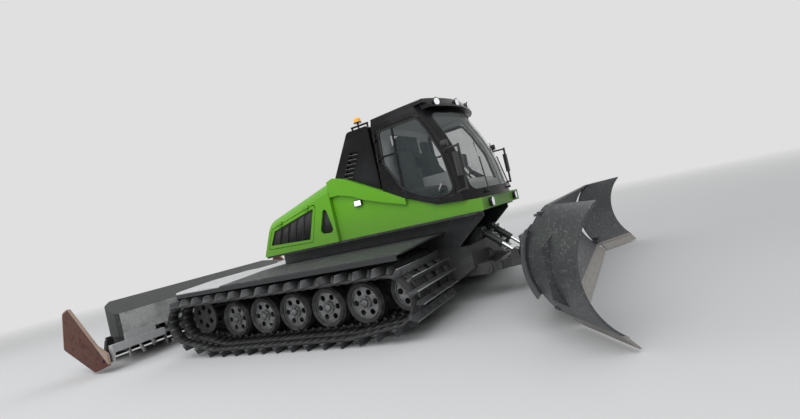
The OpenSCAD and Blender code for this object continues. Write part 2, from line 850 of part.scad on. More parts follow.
visor_out = 110;
visor_low = 2670;
visor_y = 790;
roof_t = 60;
lamp_r = 48;
lamp_angles = [-24, -8, 8, 24];

// Radius of the barrel at height z
function barrel_r(z) = screen_r - (screen_bow - sqrt(pow(screen_bow, 2) - pow(z - screen_z, 2)));

// A lamp let into the visor's front, drawn with clearance c
module visor_lamp(c) {
    for (a = lamp_angles)
        translate([screen_x, 0, roof_front_z - 12]) rotate([0, 0, a])
            translate([barrel_r(roof_front_z) + visor_out - 60 - c, 0, 0]) rotate([0, 90, 0])
                cylinder(r = lamp_r + c, h = 95 + c);
}

module roof() {
    color("black") placed() difference() {
        union() {
            intersection() {
                across(-1000, 1000) polygon([
                    [cab_rear, roof_rear_z + seat], [3640, roof_front_z + seat], [4000, roof_front_z + seat],
                    [4000, roof_front_z + roof_t], [3500, roof_front_z + roof_t], [cab_rear, roof_rear_z + roof_t]
                ]);
                along(2000, 4400) polygon(rounded([
                    [-860, 2600, 0], [860, 2600, 0], [860, roof_front_z + roof_t + 5, 100],
                    [-860, roof_front_z + roof_t + 5, 100]
                ]));
                barrel_form(-visor_out);
            }
            intersection() {
                translate([3000, -visor_y, visor_low]) cube([1400, 2 * visor_y, roof_front_z + 20 - visor_low]);
                difference() {
                    barrel_form(-visor_out);
                    barrel_form(-seat);
                }
            }
        }
        visor_lamp(seat);
    }
}

module seats() {
    color("dimgray") placed() for (y = [-430, 430]) {
        translate([2860, y - 250, floor_z + seat]) cube([380, 500, 220]);
        translate([2830, y - 260, floor_z + 220]) cube([500, 520, 130]);
        across(y - 240, y + 240) polygon([
            [2830, floor_z + 340], [2960, floor_z + 340], [2880, floor_z + 950], [2790, floor_z + 950]
        ]);
        across(y - 140, y + 140) polygon([
            [2795, floor_z + 945], [2882, floor_z + 945], [2875, floor_z + 1120], [2800, floor_z + 1120]
        ]);
    }
}

module console() {
    color("dimgray") placed() {
        across(-700, 700) polygon([
            [3640, floor_z + seat], [3800, floor_z + seat], [3800, floor_z + 260], [3700, floor_z + 330], [3600, floor_z + 200]
        ]);
        translate([2900, -110, floor_z + seat]) cube([600, 220, 520]);
    }
}

module lamps() {
    color("white") placed() {
        visor_lamp(0);
        // Side lamps under the shoulder
        both() translate([2180, -body_y - 40, 1640]) cube([120, 40 - seat, 80]);
        // Headlamps in the nose
        for (y = [-620, 620])
            bar_x(y, 1288, 60, nose_x + seat, nose_x + 45);
    }
}

beacon_r = 60;
beacon_h = 80;
dome_r = 30;
module beacon() {
    color("orange") placed() {
        link([2330, -620, tower_top + seat], [2330, -620, tower_top + 150], 14);
        translate([2330, -620, tower_top + 150]) rotate_extrude() difference() {
            union() {
                square([beacon_r, 12]);
                square([beacon_r - 5, beacon_h - dome_r]);
                translate([0, beacon_h - dome_r]) intersection() {
                    scale([(beacon_r - 5) / dome_r, 1]) circle(r = dome_r);
                    square([beacon_r, dome_r]);
                }
            }
            translate([-100, -1]) square([100, 200]);
        }
    }
}

// Mirrors and work lamps on brackets that stand on the cab's front pillars
bracket_r = 14;
function pillar_point(x, z, d) = [x, -cab_y(z) - d * cos(cab_lean), z + d * sin(cab_lean)];

module mirrors() {
    color("black") placed() both() {
        link(pillar_point(3763, 1500, seat), pillar_point(3763, 1500, 20), 17);
        link(pillar_point(3763, 1500, 14), [3900, -1060, 1520], bracket_r);
        link(pillar_point(3677, 2035, seat), pillar_point(3677, 2035, 15), 16);
        link(pillar_point(3677, 2035, 10), [3760, -1050, 2055], bracket_r);
        link([3752, -1046, 2054], [3920, -1070, 2050], bracket_r - 1);
        link([3900, -1060, 1500], [3910, -1070, 2070], bracket_r + 2);
        link([3903, -1062, 1820], [3890, -1130, 1820], bracket_r - 2);
        across_box([3860, -1210, 1680], [45, 135, 290], 20);
        link([3735, -1030, 2050], [3735, -1040, 2085], 12);
        bar_x(-1045, 2120, 44, 3700, 3775);
    }
}

// Box with its four upright edges rounded
module across_box(p, size, r) {
    upright(p[2], p[2] + size[2]) polygon(rounded([
        [p[0], p[1], r], [p[0] + size[0], p[1], r],
        [p[0] + size[0], p[1] + size[1], r], [p[0], p[1] + size[1], r]
    ]));
}

// Point on the windscreen's barrel, at angle a and height z, standing out by d
function on_screen(a, z, d) = [
    screen_x + (barrel_r(z) + d) * cos(a), (barrel_r(z) + d) * sin(a), z
];

module wipers() {
    color("black") placed() for (a = [-17, 6]) difference() {
        union() {
            link(on_screen(a, 1430, -20), on_screen(a, 1430, 48), 16);
            link(on_screen(a, 1426, 36), on_screen(a + 3, 1900, 8), 9);
            link(on_screen(a + 1.5, 1680, 5), on_screen(a + 4.5, 2120, 5), 6);
        }
        cab_form(-seat);
    }
}

// Blade: push frame on the tub's lugs, carrier on an upright pin, then the curved blade
yaw_x = 4250;
yaw_z = push_z;

module push_frame() {
    color("darkslategray") placed() {
        difference() {
            union() {
                both() {
                    bar_y(push_x, push_z, 70, -lug_y - 44, -lug_y + 44);
                    upright(push_z - 60, push_z + 60) polygon([
                        [push_x + 20, -lug_y - 40], [push_x + 20, -lug_y + 40], [push_x + 95, -lug_y + 40],
                        [yaw_x - 60, -60], [yaw_x - 60, -200], [push_x + 95, -lug_y - 40]
                    ]);
                }
                push_cross();
                translate([yaw_x, 0, yaw_z - 90]) cylinder(r = 105, h = 180);
                both() for (s = [-1, 1]) lug(lift_b[0], lift_b[2], -lift_y + s * 55, 50, [
                    [lift_b[0] - 120, push_z - 40], [lift_b[0] + 60, push_z - 40],
                    [lift_b[0] + 48, lift_b[2] + 10], [lift_b[0] - 40, lift_b[2] + 30]
                ]);
                both() bar_y(lift_b[0], lift_b[2], 22, -lift_y - 80, -lift_y + 80);
            }
            translate([yaw_x, 0, yaw_z - 200]) cylinder(r = 50 + run, h = 400);
            both() bar_y(push_x, push_z, push_pin + run, -lug_y - 100, -lug_y + 100);
        }
    }
}

module push_cross() {
    translate([push_x + 100, -lug_y - 10, push_z - 50]) cube([90, 2 * lug_y + 20, 100]);
    translate([lift_b[0] - 70, -lift_y - 90, push_z - 50]) cube([130, 2 * lift_y + 180, 100]);
}

blade_mid = [blade_x + blade_r * cos(55), blade_top - blade_r * sin(55)];
blade_back = blade_mid[0] - blade_r - blade_t;
tilt_z = 580;

module blade_carrier() {
    color("dimgray") placed() {
        translate([yaw_x, 0, yaw_z - 130]) cylinder(r = 50, h = 260);
        for (z = [yaw_z - 126, yaw_z + 96]) {
            translate([yaw_x, 0, z]) cylinder(r = 100, h = 30);
            translate([yaw_x, -90, z]) cube([180, 180, 30]);
        }
        translate([yaw_x + 172, -160, yaw_z - 140]) cube([30, 320, 420]);
        bar_x(0, tilt_z, 60, yaw_x + 190, blade_back - 45);
    }
}

module blade_curve() {
    difference() {
        intersection() {
            translate(blade_mid) circle(r = blade_r + blade_t, $fn = 96);
            polygon([
                blade_mid, blade_mid + 2 * blade_r * ray(125), blade_mid + 2 * blade_r * ray(155),
                blade_mid + 2 * blade_r * ray(205), blade_mid + 2 * blade_r * ray(235)
            ]);
        }
        translate(blade_mid) circle(r = blade_r, $fn = 96);
    }
}

module cutting_edge() {
    polygon([
        blade_mid + (blade_r + blade_t) * ray(231), blade_mid + blade_r * ray(231),
        [blade_x + edge_out, blade_lift], [blade_x + edge_out - 22, blade_lift]
    ]);
}

// The cutting edges stop short of the wing's pin, so that the wing can swing forward
edge_gap = 60;
wing_gap = 12;
wing_pin = 16;
wing_lug_r = 34;
wing_lug_t = 22;
wing_lugs = [blade_top - 70, blade_top - 950];

// Front of the blade's curve at height z
function curve_x(z) = blade_mid[0] - sqrt(pow(blade_r, 2) - pow(z - blade_mid[1], 2));

// Lug from the blade's curve to the wing's pin, pointing to positive or negative Y
module wing_lug(z, dir) {
    root = curve_x(z) - blade_t - 30 - blade_x;
    translate([0, 0, z]) linear_extrude(wing_lug_t) {
        circle(r = wing_lug_r);
        polygon([[20, dir * 12], [-20, dir * 90], [root, dir * 90], [root, dir * 12], [-20, 0]]);
    }
}

// Strip behind the joint of blade and wing, which closes the gap that opens as the wing swings forward
module wing_seal() {
    difference() {
        intersection() {
            translate(blade_mid) circle(r = blade_r + blade_t + 20, $fn = 96);
            polygon([
                blade_mid + 400 * ray(180), blade_mid + 800 * ray(142), blade_mid + 800 * ray(165),
                blade_mid + 800 * ray(190), blade_mid + 800 * ray(213)
            ]);
        }
        children();
    }
}

module blade() {
    color("yellowgreen") placed() {
        across(-blade_w / 2, blade_w / 2) blade_curve();
        both() {
            across(-blade_w / 2 - 180, -blade_w / 2 + 80)
                wing_seal() translate(blade_mid) circle(r = blade_r + blade_t + 8, $fn = 96);
            across(-blade_w / 2, -blade_w / 2 + 80)
                wing_seal() translate(blade_mid) circle(r = blade_r + blade_t - 2, $fn = 96);
        }
        across(-blade_w / 2 + edge_gap, blade_w / 2 - edge_gap) cutting_edge();
        difference() {
            union() {
                // Back beams, ribs and the sleeve of the tilt pin
                for (z = [420, 860]) translate([blade_back - 60, -blade_w / 2 + 100, z - 60])
                    cube([120, blade_w - 200, 120]);
                for (y = [-1700, -1000, -300, 300, 1000, 1700])
                    across(y - 10, y + 10) polygon([
                        [blade_back - 50, 380], [blade_back + 60, 250], [blade_back + 200, 240],
                        [blade_back + 40, 640], [blade_back + 160, 1000], [blade_back + 60, 1000], [blade_back - 50, 900]
                    ]);
                bar_x(0, tilt_z, 110, blade_back - 130, blade_back + 10);
            }
            bar_x(0, tilt_z, 60 + run, blade_back - 200, blade_back - 30);
            bar_y(blade_mid[0], blade_mid[1], blade_r + 0.5, -2000, 2000, $fn = 96);
        }
        both() translate([blade_x, -blade_w / 2 - wing_gap, 0]) {
            for (z = wing_lugs) wing_lug(z, 1);
            for (z = wing_lugs) translate([0, 0, z - 8]) cylinder(r = wing_pin, h = 2 * wing_lug_t + 16);
        }
    }
}

module wing(left) {
    color("yellowgreen") placed() on_side(left)
        translate([blade_x, -blade_w / 2 - wing_gap, 0]) rotate([0, 0, wing_rest]) {
            translate([-blade_x, 0, 0]) {
                across(-wing_w, 0) blade_curve();
                across(-wing_w, -edge_gap) cutting_edge();
                across(-wing_w / 2 - 10, -wing_w / 2 + 10) difference() {
                    polygon([
                        [blade_back - 40, 420], [blade_back + 200, 240],
                        [blade_back + 160, 1000], [blade_back - 40, 860]
                    ]);
                    translate(blade_mid) circle(r = blade_r + 0.5, $fn = 96);
                }
            }
            difference() {
                for (z = wing_lugs) wing_lug(z + wing_lug_t + 1, -1);
                translate([0, 0, -10]) cylinder(r = wing_pin + run, h = 1500);
            }
        }
}

// Lift cylinders for the blade
module cylinder_barrel(a, b, y, r, part) {
    v = b - a;
    off = [0, y, 0];
    link(a + off + part[0] * v, a + off + part[1] * v, r);
}

module lift_barrels() {
    color("black") placed() both() difference() {
        union() {
            bar_y(lift_a[0], lift_a[2], 45, -lift_y - 30, -lift_y + 30);
            cylinder_barrel(lift_a, lift_b, -lift_y, 28, [0.05, 0.2]);
            cylinder_barrel(lift_a, lift_b, -lift_y, 48, [0.15, 0.62]);
        }
        bar_y(lift_a[0], lift_a[2], 25 + run, -lift_y - 90, -lift_y + 90);
        cylinder_barrel(lift_a, lift_b, -lift_y, 26, [0.2, 0.8]);
    }
}

module lift_rods() {
    color("silver") placed() both() difference() {
        union() {
            bar_y(lift_b[0], lift_b[2], 44, -lift_y - 30, -lift_y + 30);
            cylinder_barrel(lift_a, lift_b, -lift_y, 25, [0.44, 0.97]);
        }
        bar_y(lift_b[0], lift_b[2], 32, -lift_y - 90, -lift_y + 90);
    }
}

// Tiller: arm on the rear lugs, cover with rotors, combs and side flaps
roll_x = -1900;
roll_z = arm_z;
module tiller_arm() {
    color("darkslategray") placed() difference() {
        union() {
            both() {
                bar_y(arm_x, arm_z, 70, -lug_y - 44, -lug_y + 44);
                upright(arm_z - 60, arm_z + 60) polygon([
                    [arm_x - 20, -lug_y - 40], [arm_x - 20, -lug_y + 40], [arm_x - 95, -lug_y + 40],
                    [roll_x + 150, -40], [roll_x + 60, -40], [roll_x + 60, -180], [roll_x + 150, -200],
                    [arm_x - 95, -lug_y - 40]
                ]);
                for (s = [-1, 1]) lug(tiller_b[0], tiller_b[2], -tiller_y + s * 55, 50, [
                    [tiller_b[0] - 80, arm_z + 5], [tiller_b[0] + 100, arm_z + 5],
                    [tiller_b[0] + 40, tiller_b[2] + 30], [tiller_b[0] - 48, tiller_b[2] + 10]
                ]);
                bar_y(tiller_b[0], tiller_b[2], 22, -tiller_y - 80, -tiller_y + 80);
            }
            translate([tiller_b[0] - 90, -lug_y + 60, arm_z - 60]) cube([200, 2 * lug_y - 120, 75]);
            translate([roll_x + 40, -180, arm_z - 90]) cube([60, 360, 180]);
            bar_x(0, roll_z, 60, tiller_front + 30, roll_x + 60);
        }
        both() bar_y(arm_x, arm_z, push_pin + run, -lug_y - 100, -lug_y + 100);
    }
}

rotor_x = (tiller_front + tiller_rear) / 2 + 60;
function tiller_roof(x) = tiller_z + (tiller_top - tiller_z) * (tiller_front - x) / (tiller_front - tiller_rear - 60);
rotor_gap = 30;
// The rotors' end plates, from the middle
plate_y = tiller_w / 2 - 200;
flap_x = tiller_front - 80;
flap_z = 200;
flap_y = tiller_w / 2 + 230;

// The cover's outline from above, moved in by t: its ends are raked towards the rear
module tiller_plan(t) {
    half = [
        [tiller_front + 1 - t, tiller_w / 2 - t, 60], [tiller_front - 560, plate_y + 70 - t, 400],
        [tiller_rear + t, tiller_w / 2 - 420 - t, 260]
    ];
    upright(0, 2000) polygon(rounded([
        for (p = half) p,
        for (k = [len(half) - 1:-1:0]) [half[k][0], -half[k][1], half[k][2]]
    ]));
}

module tiller_cover() {
    color("gray") placed() {
        difference() {
            intersection() {
                across(-tiller_w / 2, tiller_w / 2) polygon([
                    [tiller_front, 490], [tiller_front, tiller_z], [tiller_rear + 60, tiller_top],
                    [tiller_rear, tiller_top - 60], [tiller_rear, 440], [tiller_rear + 40, 440], [tiller_rear + 40, 490]
                ]);
                tiller_plan(0);
            }
            intersection() {
                across(-tiller_w / 2 + tiller_t, tiller_w / 2 - tiller_t) polygon([
                    [tiller_front - tiller_t, 400], [tiller_front - tiller_t, tiller_z - tiller_t],
                    [tiller_rear + 70, tiller_top - tiller_t], [tiller_rear + tiller_t, tiller_top - 75],
                    [tiller_rear + tiller_t, 400]
                ]);
                tiller_plan(tiller_t);
            }
        }
        // End plates with the rotor's bearings, and the middle bearing
        for (y = [-plate_y, 0, plate_y])
            across(y - 12, y + 12) difference() {
                polygon([
                    [rotor_x + 230, 495], [rotor_x + 150, 210], [rotor_x - 150, 210], [rotor_x - 230, 495],
                    [rotor_x - 200, tiller_roof(rotor_x - 200) - tiller_t / 2],
                    [rotor_x + 200, tiller_roof(rotor_x + 200) - tiller_t / 2]
                ]);
                translate([rotor_x, rotor_z]) circle(r = 45 + run);
            }
        // Lugs for the comb's hinge tube
        both() across(-comb_lug_y - 15, -comb_lug_y + 15) difference() {
            polygon([
                [tiller_rear + 140, 445], [tiller_rear + 140, 560], [comb_hinge[0] - 30, comb_hinge[1] + 25],
                [comb_hinge[0] - 30, comb_hinge[1] - 35], [comb_hinge[0] + 30, comb_hinge[1] - 35]
            ]);
            translate(comb_hinge) circle(r = 18 + run);
        }
        // Pivot sleeve on the front plate
        difference() {
            bar_x(0, roll_z, 110, tiller_front - 10, tiller_front + 70);
            bar_x(0, roll_z, 60 + run, tiller_front - 100, tiller_front + 200);
        }
        // Beams that carry the side flaps
        both() {
            translate([tiller_front - 1, -flap_y + 37, 300]) cube([111, flap_y - 1560, 120]);
            translate([tiller_front - 1, -tiller_w / 2 + 60, 410]) cube([61, 500, 120]);
            across(-flap_y + 36, -flap_y + 66) polygon([
                [tiller_front - 130, flap_z - 60], [tiller_front + 50, flap_z - 40], [tiller_front + 110, 300],
                [tiller_front + 110, 420], [tiller_front, 420], [tiller_front - 130, flap_z + 60]
            ]);
            bar_y(flap_x, flap_z, 20, -flap_y - flap_t - 20, -flap_y + 60);
        }
    }
}

tine_rows = 3;
tine_rings = 12;
tine_margin = 80;
plate_gap = 22;
tine_step = (plate_y - plate_gap - rotor_gap - 2 * tine_margin) / (tine_rings - 1);
module rotor(left) {
    color("silver") placed() on_side(left) {
        bar_y(rotor_x, rotor_z, 45, -plate_y - 10, -rotor_gap + 20);
        bar_y(rotor_x, rotor_z, 80, -plate_y + plate_gap, -rotor_gap);
        for (k = [0:tine_rings - 1]) for (j = [0:tine_rows - 1])
            translate([rotor_x, -rotor_gap - tine_margin - tine_step * k, rotor_z])
                rotate([0, 360 / tine_rows * j + 30 * k, 0])
                translate([0, -12, -30]) cube([rotor_r, 24, 60]);
    }
}

comb_hinge = [tiller_rear - 50, 430];
comb_lug_y = tiller_w / 2 - 560;
comb_y = plate_y - 40;
comb_groove = 50;
// Section of the combs, as [x, z]
comb_rows = [
    [comb_hinge[0], comb_hinge[1] - 28], [comb_hinge[0] - 60, comb_hinge[1] - 20], [comb_hinge[0] - 220, 120],
    [tiller_rear - comb_l, 60], [tiller_rear - comb_l, 25], [comb_hinge[0] - 240, 60], [comb_hinge[0] - 60, 260]
];

module finisher() {
    color("black") placed() difference() {
        union() {
            bar_y(comb_hinge[0], comb_hinge[1], 30, -comb_y, comb_y);
            across(-comb_y, comb_y) polygon(comb_rows);
        }
        // Slots for the lugs that hold the hinge pins
        both() difference() {
            translate([comb_hinge[0] - 50, -comb_lug_y - 24, comb_hinge[1] - 120]) cube([200, 48, 300]);
            bar_y(comb_hinge[0], comb_hinge[1], 18, -comb_lug_y - 30, -comb_lug_y + 30);
        }
        // Grooves that leave the ridges of the finished snow
        for (y = [-comb_y + comb_groove:comb_groove:comb_y - comb_groove])
            across(y - 8, y + 8) polygon([
                [comb_hinge[0] - 230, 150], [comb_hinge[0] - 220, 105], [tiller_rear - comb_l - 10, 46],
                [tiller_rear - comb_l - 10, 90]
            ]);
    }
}

flap_rows = [
    [flap_x + 130, 130, 40], [flap_x - 320, 30, 60], [flap_x - 1170, 450, 50], [flap_x - 970, 1060, 120],
    [flap_x - 760, 1120, 80], [flap_x - 140, 450, 30], [flap_x + 130, 310, 40]
];
module side_flap(left) {
    color("sienna") placed() on_side(left) difference() {
        across(-flap_y - flap_t, -flap_y) polygon(rounded(flap_rows));
        bar_y(flap_x, flap_z, 20 + run, -flap_y - 100, -flap_y + 100);
    }
}

module tiller_barrels() {
    color("black") placed() both() difference() {
        union() {
            bar_y(tiller_a[0], tiller_a[2], 45, -tiller_y - 30, -tiller_y + 30);
            cylinder_barrel(tiller_a, tiller_b, -tiller_y, 28, [0.05, 0.15]);
            cylinder_barrel(tiller_a, tiller_b, -tiller_y, 48, [0.11, 0.62]);
        }
        bar_y(tiller_a[0], tiller_a[2], 25 + run, -tiller_y - 90, -tiller_y + 90);
        cylinder_barrel(tiller_a, tiller_b, -tiller_y, 26, [0.16, 0.8]);
    }
}

module tiller_rods() {
    color("silver") placed() both() difference() {
        union() {
            bar_y(tiller_b[0], tiller_b[2], 44, -tiller_y - 30, -tiller_y + 30);
            cylinder_barrel(tiller_a, tiller_b, -tiller_y, 25, [0.42, 0.97]);
        }
        bar_y(tiller_b[0], tiller_b[2], 32, -tiller_y - 90, -tiller_y + 90);
    }
}

module tracks() {
    track(true);
    track(false);
}
module tyres() {
    tyre_row(true);
    tyre_row(false);
}
module hood_door_left() { hood_door_node(true); }
module hood_door_right() { hood_door_node(false); }
module door_left() { door(true); }
module door_right() { door(false); }
module door_glass_left() { door_glass(true); }
module door_glass_right() { door_glass(false); }
module wing_left() { wing(true); }
module wing_right() { wing(false); }
module rotor_left() { rotor(true); }
module rotor_right() { rotor(false); }
module side_flap_left() { side_flap(true); }
module side_flap_right() { side_flap(false); }

tub();
tow_eyes();
deck_frame();
axles();
tracks();
tyres();
rims();
sprockets();
engine();
body();
platform();
mudflaps();
hood();
hood_door_left();
hood_door_right();
towers();
cab_shell();
cab_glass();
roof();
door_left();
door_right();
door_glass_left();
door_glass_right();
seats();
console();
lamps();
beacon();
mirrors();
wipers();
push_frame();
blade_carrier();
blade();
wing_left();
wing_right();
lift_barrels();
lift_rods();
tiller_arm();
tiller_cover();
rotor_left();
rotor_right();
finisher();
side_flap_left();
side_flap_right();
tiller_barrels();
tiller_rods();
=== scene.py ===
"""Looks of a tracked snow groomer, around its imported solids. Metres; X forward, Y left, Z up."""
import math
import bmesh
import bpy
import numpy as np
from mathutils import Matrix, Vector


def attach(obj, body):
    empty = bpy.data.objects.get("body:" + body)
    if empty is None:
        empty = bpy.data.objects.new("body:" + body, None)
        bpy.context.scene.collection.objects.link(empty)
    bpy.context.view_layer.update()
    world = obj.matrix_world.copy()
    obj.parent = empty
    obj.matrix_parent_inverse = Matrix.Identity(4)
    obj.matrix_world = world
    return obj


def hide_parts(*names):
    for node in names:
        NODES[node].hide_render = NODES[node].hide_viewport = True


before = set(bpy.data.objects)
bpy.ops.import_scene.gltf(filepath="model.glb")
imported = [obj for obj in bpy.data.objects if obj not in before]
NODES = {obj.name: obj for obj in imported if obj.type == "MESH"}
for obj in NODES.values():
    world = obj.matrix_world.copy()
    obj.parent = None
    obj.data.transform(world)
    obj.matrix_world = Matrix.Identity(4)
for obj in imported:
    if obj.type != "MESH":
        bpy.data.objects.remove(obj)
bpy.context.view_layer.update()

# Camera. It stands low beside the right front corner, as the photograph's does, and is tipped
# sideways, because the machine climbs there while it stands level here.
# AXLE is where the rearmost road wheel's axle lies; the sizes below count from it.
AXLE = -1.03949
heading, lift, tip = np.radians([118.48, 0.71, -13.145])
ahead = np.array([math.cos(heading) * math.cos(lift), math.sin(heading) * math.cos(lift), math.sin(lift)])
aside = np.cross(ahead, [0, 0, 1])
aside /= np.linalg.norm(aside)
above = np.cross(aside, ahead)
right = math.cos(tip) * aside + math.sin(tip) * above
upward = math.cos(tip) * above - math.sin(tip) * aside
# The focal length is 438 of the picture's 800 pixels across
sensor, focal_px, picture_px = 36, 438, 800
eye = bpy.data.cameras.new("photo_view")
eye.sensor_width = sensor
eye.lens = focal_px / picture_px * sensor
eye.clip_end = 500
camera = bpy.data.objects.new("photo_view", eye)
place = np.eye(4)
place[:3, 0], place[:3, 1], place[:3, 2] = right, upward, -ahead
place[:3, 3] = [5.67 + AXLE, -6.109, 1.383]
camera.matrix_world = Matrix(place.tolist())
bpy.context.collection.objects.link(camera)
bpy.context.scene.camera = camera

# Floor, sky and lamps: a pale studio. The floor fades into the sky's colour far from the machine,
# and the sky is brighter to the camera, in gloss and through glass than the light that it gives.
scene = bpy.context.scene
scene.view_settings.view_transform = "Standard"
sky = bpy.data.worlds.new("studio_sky")
scene.world = sky
sky.use_nodes = True
tree = sky.node_tree
tree.nodes.clear()
path = tree.nodes.new("ShaderNodeLightPath")
most = path.outputs["Is Camera Ray"]
for seen in ("Is Glossy Ray", "Is Transmission Ray"):
    add = tree.nodes.new("ShaderNodeMath")
    add.operation = "MAXIMUM"
    tree.links.new(most, add.inputs[0])
    tree.links.new(path.outputs[seen], add.inputs[1])
    most = add.outputs[0]
sky_light, sky_seen = 0.62, 0.93
scale = tree.nodes.new("ShaderNodeMapRange")
scale.inputs["To Min"].default_value = sky_light
scale.inputs["To Max"].default_value = sky_seen
tree.links.new(most, scale.inputs["Value"])
light = tree.nodes.new("ShaderNodeBackground")
tree.links.new(scale.outputs[0], light.inputs["Strength"])
out = tree.nodes.new("ShaderNodeOutputWorld")
tree.links.new(light.outputs[0], out.inputs[0])

floor_mesh = bpy.data.meshes.new("floor")
floor_mesh.from_pydata([(-90, -90, 0), (90, -90, 0), (90, 90, 0), (-90, 90, 0)], [], [(0, 1, 2, 3)])
floor = bpy.data.objects.new("floor", floor_mesh)
bpy.context.collection.objects.link(floor)
ground = bpy.data.materials.new("floor")
floor_mesh.materials.append(ground)
ground.use_nodes = True
tree = ground.node_tree
tree.nodes.clear()
where = tree.nodes.new("ShaderNodeTexCoord")
far = tree.nodes.new("ShaderNodeVectorMath")
far.operation = "LENGTH"
tree.links.new(where.outputs["Object"], far.inputs[0])
fade = tree.nodes.new("ShaderNodeMapRange")
fade.inputs["From Min"].default_value = 7
fade.inputs["From Max"].default_value = 30
tree.links.new(far.outputs["Value"], fade.inputs["Value"])
matt = tree.nodes.new("ShaderNodeBsdfDiffuse")
matt.inputs["Color"].default_value = (0.70, 0.71, 0.72, 1)
haze = tree.nodes.new("ShaderNodeEmission")
haze.inputs["Color"].default_value = (0.8, 0.8, 0.8, 1)
haze.inputs["Strength"].default_value = sky_seen
blend = tree.nodes.new("ShaderNodeMixShader")
tree.links.new(fade.outputs[0], blend.inputs[0])
tree.links.new(matt.outputs[0], blend.inputs[1])
tree.links.new(haze.outputs[0], blend.inputs[2])
out = tree.nodes.new("ShaderNodeOutputMaterial")
tree.links.new(blend.outputs[0], out.inputs[0])

# name, place, aimed at, watts, size across
for name, spot, aim, watts, size in (
    ("key", (3.0, -9.5, 8.5), (0, 0, 1), 820, 12.0),
    ("fill", (-10.0, -6.0, 7.0), (-1, 0, 1), 300, 9.0),
    ("back", (-3.0, 10.0, 9.0), (0, 0, 1), 300, 13.0),
):
    lamp = bpy.data.lights.new(name, "AREA")
    lamp.energy, lamp.size = watts, size
    lamp_object = bpy.data.objects.new(name, lamp)
    lamp_object.location = spot
    lamp_object.rotation_euler = (Vector(aim) - Vector(spot)).to_track_quat("-Z", "Y").to_euler()
    bpy.context.collection.objects.link(lamp_object)


# Tracks. Each is five rubber belts side by side, which aluminium bars with a steel edge join across,
# every second one shorter at the outer side. Two rows of guide teeth inside run beside the tyres.
# The bars are bolted through the belts, with two bolts on each; the bolts are not drawn.
class Socket:
    """One output of a shader node. Adding, multiplying and so on adds the Math node for it."""

    def __init__(self, finish, socket):
        self.finish, self.socket = finish, socket

    def math(self, operation, *others):
        """Math node with that operation on this value and the others."""
        return self.finish.node("ShaderNodeMath", {"operation": operation}, self, *others)

    def __add__(self, other):
        return self.math("ADD", other)

    def __sub__(self, other):
        return self.math("SUBTRACT", other)

    def __rsub__(self, other):
        return self.finish.node("ShaderNodeMath", {"operation": "SUBTRACT"}, other, self)

    def __mul__(self, other):
        return self.math("MULTIPLY", other)

    def __pow__(self, other):
        return self.math("POWER", other)

    __radd__, __rmul__ = __add__, __mul__

    def rise(self, low, high):
        """0 up to low, 1 from high, with a soft step between them."""
        return self.finish.node(
            "ShaderNodeMapRange", {"interpolation_type": "SMOOTHSTEP"}, self, low, high, 0.0, 1.0)


class Finish:
    """A material under way, with the object's own x, y and z to paint by."""

    def __init__(self, name):
        self.material = bpy.data.materials.new(name)
        self.material.use_nodes = True
        self.tree = self.material.node_tree
        self.shader = self.tree.nodes["Principled BSDF"]
        self.place = self.node("ShaderNodeTexCoord", {}, take="Object")
        parts = self.node("ShaderNodeSeparateXYZ", {}, self.place)
        self.x, self.y, self.z = (Socket(self, o) for o in parts.socket.node.outputs)

    def feed(self, socket, value):
        """Links a value that varies to a socket, or sets a number or colour on it."""
        if isinstance(value, Socket):
            self.tree.links.new(value.socket, socket)
        elif isinstance(value, (tuple, list)) and len(value) == 3 and socket.type == "RGBA":
            socket.default_value = (*value, 1)
        else:
            socket.default_value = value

    def node(self, kind, settings, *values, take=0, **named):
        """Adds a node: its type, its settings, then what its sockets get, in order or by name."""
        made = self.tree.nodes.new(kind)
        for key, value in settings.items():
            setattr(made, key, value)
        for i, value in enumerate(values):
            self.feed(made.inputs[i], value)
        for key, value in named.items():
            self.feed(made.inputs[key.replace("_", " ")], value)
        return Socket(self, made.outputs[take])

    def noise(self, size, detail=4, stretch=(1, 1, 1)):
        """Cloudy value from 0 to 1 whose patches are about size metres across."""
        spread = self.node("ShaderNodeMapping", {}, self.place, Scale=stretch)
        return self.node("ShaderNodeTexNoise", {}, Vector=spread, Scale=1 / size, Detail=detail, Roughness=0.55)

    def waves(self, direction, scale):
        """Soft stripes from 0 to 1 across one axis."""
        return self.node("ShaderNodeTexWave", {"bands_direction": direction}, self.place, Scale=scale, take=1)

    def cells(self, size):
        """Distance to the nearest of points that lie about size metres apart."""
        return self.node("ShaderNodeTexVoronoi", {}, Vector=self.place, Scale=1 / size)

    def mix(self, amount, first, second):
        """Colour between two, the second one where amount is 1."""
        made = self.tree.nodes.new("ShaderNodeMix")
        made.data_type = "RGBA"
        for i, value in ((0, amount), (6, first), (7, second)):
            self.feed(made.inputs[i], value)
        return Socket(self, made.outputs[2])

    def bump(self, height, depth, strength):
        """Normal from a height of 0 to 1 that stands for depth metres."""
        return self.node("ShaderNodeBump", {}, Strength=strength, Distance=depth, Height=height)

    def surface(self, **named):
        """Feeds the shader's sockets and gives the finished material."""
        for key, value in named.items():
            self.feed(self.shader.inputs[key.replace("_", " ")], value)
        return self.material


def paint_over(material, *nodes):
    """Gives carried-over nodes one material."""
    for n in nodes:
        mesh = NODES[n].data
        mesh.materials.clear()
        mesh.materials.append(material)


